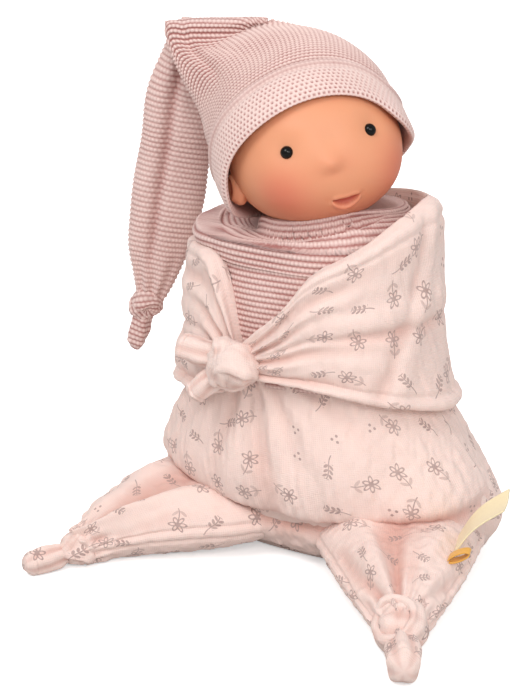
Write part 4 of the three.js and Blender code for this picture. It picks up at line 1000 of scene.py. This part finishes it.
def muslin_front_grid():
    """The front panel: it fans out in gathers from the chest knot, and hangs over the legs in a full roll."""
    azimuth = np.linspace(-FRONT_EDGE, FRONT_EDGE, PANEL_STEPS)[:, None]
    z = np.linspace(4.5, 104.3, 190)[None]
    base = skin_point(azimuth, z, 0.0)
    dx = base[..., 0] - KNOT[0]
    dz = KNOT[2] - base[..., 2]
    spoke = np.arctan2(dx, np.maximum(dz, 1.0) + 14)
    distance = np.hypot(dx, dz)
    gather = (np.cos(spoke * 17 + 0.5) + 0.5 * np.cos(spoke * 29 + 2.0)) * ease(95, 16, distance) * 0.95
    outer = ease(20, 45, distance)
    long_fold = 1.6 * bell(spoke - 0.62, 0.09) * outer * ease(105, 70, distance)
    long_fold = long_fold + 1.9 * bell(spoke + 0.72, 0.10) * outer
    long_fold -= 1.5 * bell(spoke - 0.20, 0.08) * ease(26, 50, distance) * ease(110, 80, distance)
    belly = 3.6 * bell(z - 46, 22) * bell(azimuth, 66)
    bottom = 24 + 9 * (azimuth / 75) ** 2
    crease = -6.0 * bell(z - bottom, 4.5) * np.exp(-((azimuth / 84) ** 6))
    broad = ripple(base, 42, 51) * 1.2
    edge = seam_line(FRONT_EDGE - np.abs(azimuth), 1.2, 0.7) * ease(110, 95, z)
    side = ease(FRONT_EDGE, 84, np.abs(azimuth))
    amount = (gather + long_fold + belly + crease + broad + crinkle(base, 0.85)) * side + edge - 0.6
    inner = skin_point(azimuth, np.linspace(5, 104, 14)[None], -MUSLIN)
    # Painted shade in the crease under the belly and in the folds and gathers
    fold = np.concatenate([crease_shade(crease + long_fold + 0.6 * gather), np.zeros(inner.shape[:2])], 1)
    return slab(raised(base, amount, closed=False), inner, marks={"fold": fold})


def muslin_back_grid():
    """The back panel: smooth over the seat, with soft drags from the shoulders to the sides."""
    azimuth = np.linspace(180 - BACK_EDGE, 180 + BACK_EDGE, PANEL_STEPS)[:, None]
    in_from_edge = np.minimum(azimuth - (180 - BACK_EDGE), 180 + BACK_EDGE - azimuth)
    z = np.linspace(0.4, 149.6, 230)[None]
    base = skin_point(azimuth, z, 0.0)
    drag = np.cos((azimuth - 180) / 7.5 + (z - 40) / 26) * ease(12, 60, z) * ease(150, 120, z)
    fall = 1.3 * bell(np.abs(azimuth - 180) - 30 - z * 0.12, 7) * ease(20, 60, z)
    slump = 2.0 * bell(z - 24, 12)
    rest = ease(0, 10, z)
    side = ease(0, 9, in_from_edge)
    amount = (drag + fall + slump + ripple(base, 45, 61) * 1.3 + crinkle(base, 0.6, 9)) * side * rest
    amount += seam_line(in_from_edge, 1.2, 0.7) * rest - 0.6 - 1.3 * (1 - side)
    inner = skin_point(azimuth, np.linspace(3, 149, 16)[None], -MUSLIN)
    return slab(raised(base, amount, closed=False), inner)


def seat_grid():
    """The underside, worn flat on the floor, that closes the sack."""
    angle = around(0, 360, 160)[None]
    rings = 46
    share = np.concatenate([np.linspace(0.02, 0.97, rings), [0.99, 1.0, 0.985]])[:, None]
    height = np.concatenate([np.full(rings, 0.35), [0.8, 2.6, 4.4]])[:, None]
    rim = skin_point(angle, 3.0, -0.4)
    middle = rim.mean(axis=1, keepdims=True)
    under = middle + (rim - middle) * share[..., None]
    under[..., 2] = height
    under[..., 2] += 0.25 * (crinkle(under, 1.0, 17) + 0.6) * (share < 0.96)
    over = middle + (rim - middle) * np.linspace(0.97, 0.03, 8)[:, None, None]
    over[..., 2] = 4.7
    return {"points": np.concatenate([under, over], 0)}


WRAP_LEFT = [
    [-8, 0.56, 0.635, 0.8], [8, 0.555, 0.73, 1], [24, 0.545, 0.835, 1.05], [45, 0.52, 0.9, 1.05],
    [70, 0.475, 0.965, 1], [95, 0.44, 0.985, 0.95], [125, 0.43, 0.97, 0.75], [155, 0.43, 0.95, 0.45],
    [172, 0.43, 0.94, 0.3], [180.6, 0.43, 0.94, 0.27],
]
WRAP_RIGHT = [
    [17, 0.51, 0.62, 0.8], [26, 0.49, 0.76, 1], [38, 0.47, 0.845, 1.05], [58, 0.45, 0.85, 1.15],
    [82, 0.43, 0.845, 1.2], [110, 0.425, 0.86, 1.05], [140, 0.425, 0.9, 0.7], [160, 0.43, 0.93, 0.4],
    [172, 0.43, 0.94, 0.3], [180.6, 0.43, 0.94, 0.27],
]
WRAP_SECTION = [[0, 0.05, -0.1], [0.06, -0.005, 0.45], [0.14, 0.03, 1.05], [0.3, 0.22, 1.08],
                [0.5, 0.5, 0.95], [0.72, 0.78, 1.0], [0.86, 0.95, 1.0], [0.94, 1.005, 0.5],
                [1, 0.97, -0.05]]


def wrap_grid(rows, hand, seed):
    """An upper corner of the sack, wrapped from the back over the arm: rolled edges, drawn pleats."""
    steps, across = 330, 150
    first, last = rows[0][0], rows[-1][0]
    azimuth = np.linspace(first, last, steps)[:, None]
    t = np.linspace(0, 1, across)[None]
    low, high = TORSO_HEIGHT * along(rows, azimuth, 1), TORSO_HEIGHT * along(rows, azimuth, 2)
    thick = WRAP * along(rows, azimuth, 3)
    up, out = along(WRAP_SECTION, t, 1), along(WRAP_SECTION, t, 2)
    z = low + (high - low) * up
    base = skin_point(hand * azimuth, z, GAP + thick * out)
    near = ease(75, 5, azimuth - first)
    face_part = ease(0.08, 0.2, t) * ease(0.96, 0.84, t)
    # Pleats run along the cloth and deepen as it narrows to the knot
    pleat = np.cos(TURN * (up * 4.2 + 0.12 * np.sin(azimuth / 17 + seed))) * (0.25 + 1.5 * near) * face_part
    pleat += 0.6 * np.cos(TURN * (up * 7.3 + 0.2 * np.sin(azimuth / 9 + seed))) * near * face_part
    hem = 0.9 * bell(t - 0.135, 0.03) - 1.1 * bell(t - 0.185, 0.016)
    top = 0.8 * bell(t - 0.885, 0.03) - 0.9 * bell(t - 0.835, 0.016)
    tucks = 1.5 * bell(azimuth - 62 - 34 * up, 5) - 1.5 * bell(azimuth - 54 - 34 * up, 4)
    tucks = tucks * face_part + 1.2 * bell(azimuth - 108 + 20 * up, 6) * face_part
    long_fold = 1.5 * bell(up - 0.56, 0.07) - 2.4 * bell(up - 0.44, 0.035)
    tucks += long_fold * ease(4, 30, azimuth - first) * ease(150, 95, azimuth - first) * face_part
    broad = ripple(base, 38, seed) * 1.6
    amount = pleat + hem + top + tucks + (broad + crinkle(base, 0.55, seed)) * (0.4 + 0.6 * face_part)
    base = raised(base, amount * np.minimum(1, thick / WRAP + 0.1) * (out > 0.2))
    height = low + (high - low) * np.linspace(0.93, 0.09, 8)[None]
    back = skin_point(hand * azimuth, height, GAP - 0.1 * thick)
    # Painted shade in the pleats and tucks
    fold = np.concatenate([crease_shade(pleat + 0.7 * tucks), np.zeros((steps, 8))], 1)
    return {"points": np.concatenate([base, back], 1), "marks": {"fold": fold}}


END_ROWS = [[0, 0.75, 0.75], [0.3, 0.95, 0.9], [0.7, 1, 0.9], [0.92, 0.9, 0.8], [1, 0.55, 0.5]]
TIP_ROWS = [[0, 0.62, 0.62], [0.25, 0.9, 0.9], [0.6, 1, 1], [0.88, 0.93, 0.93], [1, 0.55, 0.55]]
LEG_LENGTH, LEG_HALF_WIDTH, LEG_HALF_HEIGHT, HIP_SIDE, HIP_FORWARD = 92, 41, 17, 44, 10
KNOT_SQUASH, FLOOR_CUT, OVER_FLOOR = 0.86, 0.5, 0.35
LEGS = {
    "left": {"hand": 1, "heading": 27.5, "knot": 13, "tip": (24, 9.5), "rows": [
        [0, 1, 0.8], [0.16, 0.99, 1], [0.35, 0.88, 1.08], [0.55, 0.74, 1.04], [0.75, 0.56, 0.85],
        [0.9, 0.4, 0.64],
        [1, 0.27, 0.5]]},
    "right": {"hand": -1, "heading": -28.5, "knot": 9.5, "tip": (19, 6.8), "rows": [
        [0, 1.04, 0.8], [0.16, 1.08, 1], [0.35, 1, 1.08], [0.55, 0.74, 1.04], [0.75, 0.46, 0.85],
        [0.9, 0.27, 0.64],
        [1, 0.2, 0.5]]},
}


def leg_lines(leg):
    """Where a leg runs: its directions forward and sideways, its root, its knot and its middle line."""
    heading = math.radians(leg["heading"])
    forward = np.array([math.sin(heading), -math.cos(heading), 0])
    side = np.array([forward[1], -forward[0], 0])
    hip = leg["hand"] * HIP_SIDE
    root = np.array([hip, -HIP_FORWARD, LEG_HALF_HEIGHT * 0.92]) - forward * HIP_FORWARD / 2
    knot = np.array([hip, -HIP_FORWARD, leg["knot"] * KNOT_SQUASH - FLOOR_CUT]) + forward * LEG_LENGTH
    middle = (root + knot) / 2
    middle[2] = LEG_HALF_HEIGHT - FLOOR_CUT

    def line(t):
        t = np.asarray(t, float)[..., None]
        return root * (2 * t * t - 3 * t + 1) + middle * (4 * t - 4 * t * t) + knot * (2 * t * t - t)

    return forward, side, root, knot, line


def leg_grid(leg):
    """A lower corner of the sack: a flat, slack cushion with piped seams, drawn into its knot."""
    _, side, _, _, line = leg_lines(leg)
    hand = leg["hand"]
    steps, columns = 230, 300
    s = np.linspace(0, 1, steps)
    spine = line(s)
    along_line = unit(np.gradient(spine, axis=0))
    across = unit(side - along_line * (along_line @ side)[:, None])
    up = np.cross(along_line, across)
    angle = around(0, TURN, columns)[None]
    c, d = np.cos(angle), np.sin(angle)
    a = LEG_HALF_WIDTH * along(leg["rows"], s, 1)[:, None]
    b = LEG_HALF_HEIGHT * along(leg["rows"], s, 2)[:, None]
    grid = spine[:, None] + (a * c)[..., None] * across[:, None] + (b * d)[..., None] * up[:, None]
    if up[0, 2] < 0:
        d = -d
    t = s[:, None]
    width = a * c
    top = ease(0.0, 0.5, d)
    # Folds fan out from the knot over the slack cushion
    spoke = np.arctan2(width, (1.06 - t) * LEG_LENGTH)
    fan = (np.cos(spoke * 15 + hand) + 0.55 * np.cos(spoke * 26 + 1.0)) * ease(0.25, 0.8, t) * 1.25
    hollow = -4.6 * bell(spoke - hand * 0.03, 0.16) * ease(0.1, 0.45, t) * ease(1.0, 0.7, t)
    ridge = 2.6 * bell(spoke - 0.3, 0.09) * ease(0.15, 0.5, t)
    ridge += 2.4 * bell(spoke + 0.33, 0.10) * ease(0.15, 0.5, t)
    crease = -1.8 * bell(spoke - hand * 0.2, 0.05) * ease(0.3, 0.6, t)
    pleats = np.cos(angle * 11 + 0.8) * 1.0 * ease(0.8, 0.98, t)
    # The piped seam runs along both edges of the cushion
    edge = np.abs(d)
    seam = -1.0 * bell(edge - 0.17, 0.06) + 0.5 * bell(edge, 0.12)
    broad = ripple(grid, 34, 71 + hand) * 1.5
    amount = (fan + hollow + ridge + crease + broad) * top + pleats + seam + crinkle(grid, 0.55, 81)
    grid = raised(grid, amount)
    grid[..., 2] = np.where(grid[..., 2] < 0.3, 0.3 + 0.02 * (grid[..., 2] - 0.3), grid[..., 2])
    # Painted shade in the leg's creases, and near its root under the belly's overhang
    hip = ease(0.22, 0.05, t) * top
    return {"points": grid, "marks": {"fold": np.maximum(crease_shade(amount * top), 0.5 * hip)}}


def upper_side(leg, place, share):
    """A point on a leg's upper side: how far along it, and how far out as a share of its half width."""
    _, side, _, _, line = leg_lines(leg)
    rise = LEG_HALF_HEIGHT * along(leg["rows"], place, 2) * math.sqrt(1 - share * share)
    width = LEG_HALF_WIDTH * along(leg["rows"], place, 1) * share
    return line(place) - side * leg["hand"] * width + np.array([0, 0, rise])


LABEL_RISE = [[0, 0.3, 0.95], [0.35, 0.62, 0.78], [0.7, 0.75, 0.66], [1, 0.9, 0.44]]
LABEL_LENGTH, LABEL_WIDTH, LABEL_THICK = 36, 20, 0.8


def label_lines():
    """Where the label leaves the seam, and its directions along the seam and outwards."""
    front = upper_side(LEGS["left"], 0.6, 0.78)
    way = unit(upper_side(LEGS["left"], 0.4, 0.76) - front)
    forward = leg_lines(LEGS["left"])[0]
    return front, way, -np.cross(forward, [0, 0, 1.0])


def label_grid():
    """A blank satin label: it stands out of the seam, curls outwards, and lifts at one corner."""
    front, way, out = label_lines()
    steps, across = 80, 44
    s = np.linspace(0, 1, steps)
    above = np.array([0, 0, 1.0])
    rise = unit(along(LABEL_RISE, s, 1)[:, None] * out + along(LABEL_RISE, s, 2)[:, None] * above)
    climb = np.concatenate([[np.zeros(3)], np.cumsum(rise[:-1], 0)])
    spine = front + np.array([0, 0, -2.2]) + climb * LABEL_LENGTH / (steps - 1)
    w = np.linspace(0, 1, across)
    curl = unit(np.cross(way, rise))
    wave = 1.1 * np.sin(np.pi * w[None] * 1.1) * ease(0.1, 1, s)[:, None] + 0.35 * np.sin(9 * s)[:, None]
    middle = spine[:, None] + way * (LABEL_WIDTH * w)[None, :, None] + curl[:, None] * wave[..., None]
    thin = LABEL_THICK * 0.4
    hem = 1 + 0.6 * (bell(w - 0.06, 0.04) + bell(w - 0.94, 0.04))[None, :, None]
    return slab(middle + curl[:, None] * thin * hem, middle - curl[:, None] * thin * hem)


def loop_grid():
    """A folded ribbon loop beside the label."""
    front, way, out = label_lines()
    angle = np.linspace(0.25, TURN - 0.25, 90)[:, None]
    length, height = 10.6, 3.6
    root = front - way * 3.6 + np.array([0, 0, 1.4])
    reach = unit(out * 0.9 + np.array([0, 0, 0.45]) - way * 0.1)
    lift = unit(np.cross(way, reach))
    lift = lift if lift[2] > 0 else -lift
    outwards = reach * (length / 2 * (1 - np.cos(angle)))[..., None]
    ring = root + outwards + lift * (height / 2 * np.sin(angle))[..., None]
    across = np.linspace(-2.4, 2.4, 12)[None, :, None] * way
    away = reach * (-np.cos(angle))[..., None] / length * 2
    normal = unit(away + lift * np.sin(angle)[..., None] / height * 2)
    face = ring + across
    return slab(face + normal * 0.3, face - normal * 0.3)


def stuffing_grid():
    """Loose polyester fibre that fills the torso: lumps of wadding, dished where the head sits."""
    angle = around(0, 360, 150)[None]
    z = np.linspace(8.6, 146.3, 90)[:, None]
    offset = -(MUSLIN + KNIT + 2 * GAP) - 0.6
    face = skin_point(angle, z, offset)
    face = raised(face, ripple(face, 9, 91) * 0.6 - 0.6)
    middle = face[-1].mean(axis=0)
    lid = middle + (face[-1] - middle) * np.linspace(0.95, 0.06, 26)[:, None, None]
    points = np.concatenate([face, lid], 0)
    away = ((points[..., :2] - HEAD[:2]) ** 2).sum(-1)
    points[..., 2] = np.minimum(points[..., 2], HEAD[2] - np.sqrt(np.maximum((SEAT_BALL + 1) ** 2 - away, 0)))
    return {"points": points}


# Operators: one for each piece or group of like pieces


def kit(context):
    """The sizes and colours that a user may have changed."""
    return context.scene.doll_sizes, context.scene.doll_colours


class DOLL_OT_head(bpy.types.Operator):
    """Vinyl head with its open mouth, ears and neck"""

    bl_idname = "doll.head"
    bl_label = "Head"

    def execute(self, context):
        colours = context.scene.doll_colours
        neck = lathe_grid([(12.9, -16), (13.4, -20), (13.4, -41.4), (15.2, -41.4), (15.3, -43.2),
                           (11.2, -43.3), (11.1, -30), (11.0, -18)], HEAD, HEAD_TURN @ NECK_LOCAL)
        grids = [head_grid(), ear_grid(1, 1.1), ear_grid(-1, 4.4), neck]
        finish = rotocast_vinyl("rotocast_soft_vinyl", colours)
        make("head", grids, finish, "head", ["head_shell"])
        return {"FINISHED"}


class DOLL_OT_eyes(bpy.types.Operator):
    """Black bead eyes on their shanks"""

    bl_idname = "doll.eyes"
    bl_label = "Eyes"

    def execute(self, context):
        colours = context.scene.doll_colours
        finish = plain_finish("polished_acrylic_bead", colours.bead, 900.0, 0.06,
                              specular=0.25, spread=0.02, depth=0.00001)
        shank = [(1.2, -6.4), (1.2, -1.1), (2.7, -1.0), (3.05, -0.5)]
        turns = np.linspace(0, math.pi / 2 - 0.02, 22)
        ball = [(BEAD_RADIUS * math.cos(t), BEAD_RADIUS * math.sin(t)) for t in turns]
        for hand, side in ((1, "left"), (-1, "right")):
            d, place = eye_place(hand)
            bead = lathe_grid(shank + ball, to_body(place), HEAD_TURN @ d)
            make(f"eye_{side}_bead", [bead], finish, "head", [f"eye_{side}"])
        return {"FINISHED"}


class DOLL_OT_cap(bpy.types.Operator):
    """The cap's band and bag"""

    bl_idname = "doll.cap"
    bl_label = "Cap"

    def execute(self, context):
        sizes, colours = kit(context)
        finish = cotton_knit("cotton_garter_knit", colours)
        make("cap_band", [brim_grid()], finish, "hat", ["hat_brim"])
        make("cap_bag", [crown_grid(sizes)], finish, "hat", ["hat_crown"])
        return {"FINISHED"}


class DOLL_OT_cap_end(bpy.types.Operator):
    """The cap's hanging end, its knot and its stub"""

    bl_idname = "doll.cap_end"
    bl_label = "Cap end"

    def execute(self, context):
        sizes = context.scene.doll_sizes
        finish = bpy.data.materials["cotton_garter_knit"]
        tail = make("cap_end", [tail_grid(sizes)], finish, nodes=["hat_tail"])
        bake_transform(tail)
        centre = tail_point([1.07], [-0.272], [0.05])[0]
        radius, length = 8.4, 15
        grids = knot_grids(radius, centre, RIDGE_ALONG * 0.5 + np.array([0, 0, 0.9]), RIDGE_OUT, 1.1, 0.7, 4)
        for g in grids:
            relief = garter(arc(g["points"], 0)[:, None], arc(g["points"], 1)[None], sizes)
            g["points"] = raised(g["points"], (relief - 0.5) * 0.5)
            g["marks"] = {"relief": relief}
        make("cap_knot", grids, finish, "hat_end", ["hat_tail_knot"])
        end = centre - np.array([0, 0, radius + length]) - RIDGE_ALONG * length * 0.45
        stub = stub_grid(centre, end, RIDGE_ALONG, 4.9, 4.6, TIP_ROWS, pleats=4, depth=0.12)
        relief = garter(arc(stub["points"], 1)[None], arc(stub["points"], 0)[:, None], sizes)
        stub["marks"] = {"relief": relief}
        make("cap_stub", [stub], finish, "hat_end", ["hat_tail_tip"])
        return {"FINISHED"}


class DOLL_OT_knitted_body(bpy.types.Operator):
    """Knitted body, folded collar and the cloth cup that holds the neck"""

    bl_idname = "doll.knitted_body"
    bl_label = "Knitted body"

    def execute(self, context):
        sizes = context.scene.doll_sizes
        finish = bpy.data.materials["cotton_garter_knit"]
        make("knitted_body", [knit_body_grid(sizes)], finish, "torso", ["knit_body"])
        make("knitted_collar", [cowl_grid(sizes)], finish, "torso", ["knit_cowl"])
        cup = [(2.0, -46.2), (8, -46.6), (15.0, -45.4), (16.9, -43.6), (16.9, -41.0), (15.6, -39.6),
               (15.2, -36.0), (13.9, -35.6), (13.8, -40.2), (2.0, -44.0)]
        cloth = lathe_grid(cup, HEAD, HEAD_TURN @ NECK_LOCAL, marks={"relief": np.full((10, 64), 0.7)})
        make("neck_cup", [cloth], finish, "neck", ["neck_sleeve"])
        return {"FINISHED"}


class DOLL_OT_sack(bpy.types.Operator):
    """The muslin sack's panels and its filling"""

    bl_idname = "doll.sack"
    bl_label = "Sack"

    def execute(self, context):
        sizes, colours = kit(context)
        printed = double_gauze("cotton_double_gauze_printed", colours, sizes)
        make("sack_front", [muslin_front_grid()], printed, "torso", ["muslin_front"])
        back = [muslin_back_grid(), seat_grid()]
        make("sack_back", back, printed, "torso", ["muslin_back"])
        fibre = plain_finish("polyester_fibre_fill", linear("#f4f1ea"), 400.0, 0.95,
                             specular=0.1, spread=0.12, depth=0.001)
        make("torso_filling", [stuffing_grid()], fibre, "torso", ["torso_stuffing"])
        return {"FINISHED"}


class DOLL_OT_arms(bpy.types.Operator):
    """The crossed upper corners and the knot on the chest"""

    bl_idname = "doll.arms"
    bl_label = "Tied corners"

    def execute(self, context):
        sizes, colours = kit(context)
        printed = bpy.data.materials["cotton_double_gauze_printed"]
        plain = double_gauze("cotton_double_gauze_plain", colours, sizes, printed=False)
        for rows, hand, side in ((WRAP_LEFT, 1, "left"), (WRAP_RIGHT, -1, "right")):
            corner = wrap_grid(rows, hand, 100 + hand)
            make(f"shawl_{side}", [corner], printed, "torso", [f"wrap_{side}"])
        turn = np.array(
            Matrix.Rotation(math.radians(KNOT_AZIMUTH), 3, "Z") @ Matrix.Rotation(math.radians(35), 3, "Y"))
        grids = knot_grids(KNOT_RADIUS, KNOT, turn @ [1, 0, 0], KNOT_OUT, 1.08, 0.6, 2)
        make("chest_tie", grids, plain, "torso", ["chest_knot"])
        for name, node, sideways, down, out, radius, length in (
                ("tie_end_low", "knot_end_low", -0.72, -0.66, 0.12, 6.3, 15.3),
                ("tie_end_side", "knot_end_side", -0.97, 0.16, 0.02, 6.9, 17)):
            way = unit(np.array([sideways, 0, down]) + KNOT_OUT * out)
            start = KNOT + way * KNOT_RADIUS * 0.5
            stub = stub_grid(start, KNOT + way * (KNOT_RADIUS + length), KNOT_OUT, radius, radius,
                             END_ROWS, pleats=5, depth=0.1)
            make(name, [stub], plain, "torso", [node])
        return {"FINISHED"}


class DOLL_OT_legs(bpy.types.Operator):
    """The lower corners: cushions, knots and stubs"""

    bl_idname = "doll.legs"
    bl_label = "Legs"

    def execute(self, context):
        printed = bpy.data.materials["cotton_double_gauze_printed"]
        for side, leg in LEGS.items():
            forward, across, _, knot, line = leg_lines(leg)
            cushion = make(f"leg_{side}_cushion", [leg_grid(leg)], printed,
                           nodes=[f"leg_{side}"])
            tuple(line(0.18) * MM)
            tuple(line(0.5) * MM)
            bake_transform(cushion)
            lean = 1.1 * leg["hand"]
            grids = knot_grids(leg["knot"], knot, forward, [0, 0, 1.0], 1.04, lean, 5 + leg["hand"])
            for g in grids:
                g["points"][..., 2] = np.maximum(g["points"][..., 2], OVER_FLOOR)
            make(f"leg_{side}_tie", grids, printed, f"leg_{side}", [f"leg_{side}_knot"])
            length, radius = leg["tip"]
            low = np.array([0, 0, radius - FLOOR_CUT - knot[2]])
            start = knot + forward * leg["knot"] * 0.5 + low
            stub = stub_grid(start, knot + forward * (leg["knot"] + length) + low, across,
                             radius * 0.8, radius * 0.9, TIP_ROWS, pleats=5, depth=0.13)
            stub["points"][..., 2] = np.maximum(stub["points"][..., 2], OVER_FLOOR)
            make(f"leg_{side}_stub", [stub], printed, f"leg_{side}", [f"leg_{side}_tip"])
        return {"FINISHED"}


class DOLL_OT_label(bpy.types.Operator):
    """The blank label and its ribbon loop"""

    bl_idname = "doll.label"
    bl_label = "Label"

    def execute(self, context):
        colours = context.scene.doll_colours
        satin = plain_finish("woven_satin_label", colours.label, 700.0, 0.45, specular=0.35, sheen=0.2)
        label = make("label", [label_grid()], satin, "label", ["label_tag"])
        ribbon = plain_finish("satin_ribbon", colours.ribbon, 900.0, 0.4, specular=0.4, sheen=0.2)
        make("ribbon_loop", [loop_grid()], ribbon, "leg_left", ["label_loop"])
        return {"FINISHED"}


class DOLL_OT_fittings(bpy.types.Operator):
    """Nylon washers behind the eyes and the tie in the neck's groove"""

    bl_idname = "doll.fittings"
    bl_label = "Fittings"

    def execute(self, context):
        nylon = plain_finish("moulded_nylon", linear("#e9e7e2"), 500.0, 0.4, spread=0.04)
        for node in ("eye_washer_left", "eye_washer_right", "neck_tie"):
            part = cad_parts[node]
            part.data.materials.clear()
            part.data.materials.append(nylon)
        return {"FINISHED"}


class DOLL_OT_stage(bpy.types.Operator):
    """Pale floor, soft studio lamps and the camera at the photographed angle"""

    bl_idname = "doll.stage"
    bl_label = "Stage"

    def execute(self, context):
        scene = context.scene
        tree, surface = material("painted_white_floor")
        # The camera sees a lit white floor; the doll gets less light back from it
        seen = add(tree, "LightPath")
        tone = add(tree, "Mix", data_type="RGBA", out=2, inputs={
            0: seen, 6: (0.6, 0.59, 0.58, 1), 7: (1, 1, 1, 1)})
        paint = add(tree, "BsdfDiffuse", inputs={"Color": tone})
        glow = add(tree, "Emission", (1, 1, 1, 1), seen * 0.42)
        floor_finish = surface(add(tree, "AddShader", paint, glow))
        size = 3.0
        mesh = bpy.data.meshes.new("floor")
        edge = [(-size, -size, 0), (size, -size, 0), (size, size, 0), (-size, size, 0)]
        mesh.from_pydata(edge, [], [(0, 1, 2, 3)])
        floor = bpy.data.objects.new("floor", mesh)
        floor.data.materials.append(floor_finish)
        scene.collection.objects.link(floor)

        world = bpy.data.worlds.new("studio")
        world.use_nodes = True
        scene.world = world
        tree = world.node_tree
        tree.nodes.clear()
        strength = add(tree, "LightPath") * 0.4 + 0.6
        light = add(tree, "Background", inputs={"Color": (1, 1, 1, 1), "Strength": strength})
        tree.links.new(light.socket, tree.nodes.new("ShaderNodeOutputWorld").inputs["Surface"])

        for name, place, width, power in (
                ("key", (-0.2, -1.0, 1.35), 0.8, 9.9), ("fill", (1.1, -0.6, 0.75), 0.8, 4.0),
                ("rim", (-0.7, 1.1, 0.9), 0.9, 5.0), ("catch", (0.8, -1.1, 1.05), 0.4, 5.0)):
            lamp = bpy.data.lights.new(name, "AREA")
            lamp.shape, lamp.size, lamp.energy = "DISK", width, power
            self.aim(name, lamp, Vector(place), Vector((-0.01, -0.02, 0.12)))

        azimuth, elevation, distance, upright = 30, 20, 1.0, 19.07
        target = Vector((-0.0254, -0.0239, 0.1))
        camera = bpy.data.cameras.new("camera")
        camera.lens = camera.sensor_width / 2 / math.tan(math.radians(upright) / 2)
        camera.clip_start, camera.clip_end = 0.05, 20
        place = target + Vector(facing(azimuth, elevation)) * distance
        scene.camera = self.aim("camera", camera, place, target)
        scene.view_settings.view_transform = "Standard"
        return {"FINISHED"}

    def aim(self, name, data, place, target):
        """A lamp or camera at a place, turned to a target."""
        holder = bpy.data.objects.new(name, data)
        holder.location = place
        holder.rotation_euler = (target - place).to_track_quat("-Z", "Y").to_euler()
        bpy.context.scene.collection.objects.link(holder)
        return holder


OPERATORS = (DOLL_OT_head, DOLL_OT_eyes, DOLL_OT_cap, DOLL_OT_cap_end, DOLL_OT_knitted_body, DOLL_OT_sack,
             DOLL_OT_arms, DOLL_OT_legs, DOLL_OT_label, DOLL_OT_fittings, DOLL_OT_stage)


class DOLL_PT_panel(bpy.types.Panel):
    """Lists the doll's pieces, sizes and colours"""

    bl_idname = "DOLL_PT_panel"
    bl_label = "Comforter doll"
    bl_space_type = "VIEW_3D"
    bl_region_type = "UI"
    bl_category = "Doll"

    def draw(self, context):
        for group in kit(context):
            for name in group.__annotations__:
                self.layout.prop(group, name)
        for operator in OPERATORS:
            self.layout.operator(operator.bl_idname)


CLASSES = (DollSizes, DollColours, *OPERATORS, DOLL_PT_panel)


def register():
    for each in CLASSES:
        bpy.utils.register_class(each)
    bpy.types.Scene.doll_sizes = PointerProperty(type=DollSizes)
    bpy.types.Scene.doll_colours = PointerProperty(type=DollColours)


def unregister():
    del bpy.types.Scene.doll_colours
    del bpy.types.Scene.doll_sizes
    for each in reversed(CLASSES):
        bpy.utils.unregister_class(each)


def main():
    register()
    for operator in OPERATORS:
        group, name = operator.bl_idname.split(".")
        getattr(getattr(bpy.ops, group), name)()


if __name__ == "__main__":
    main()
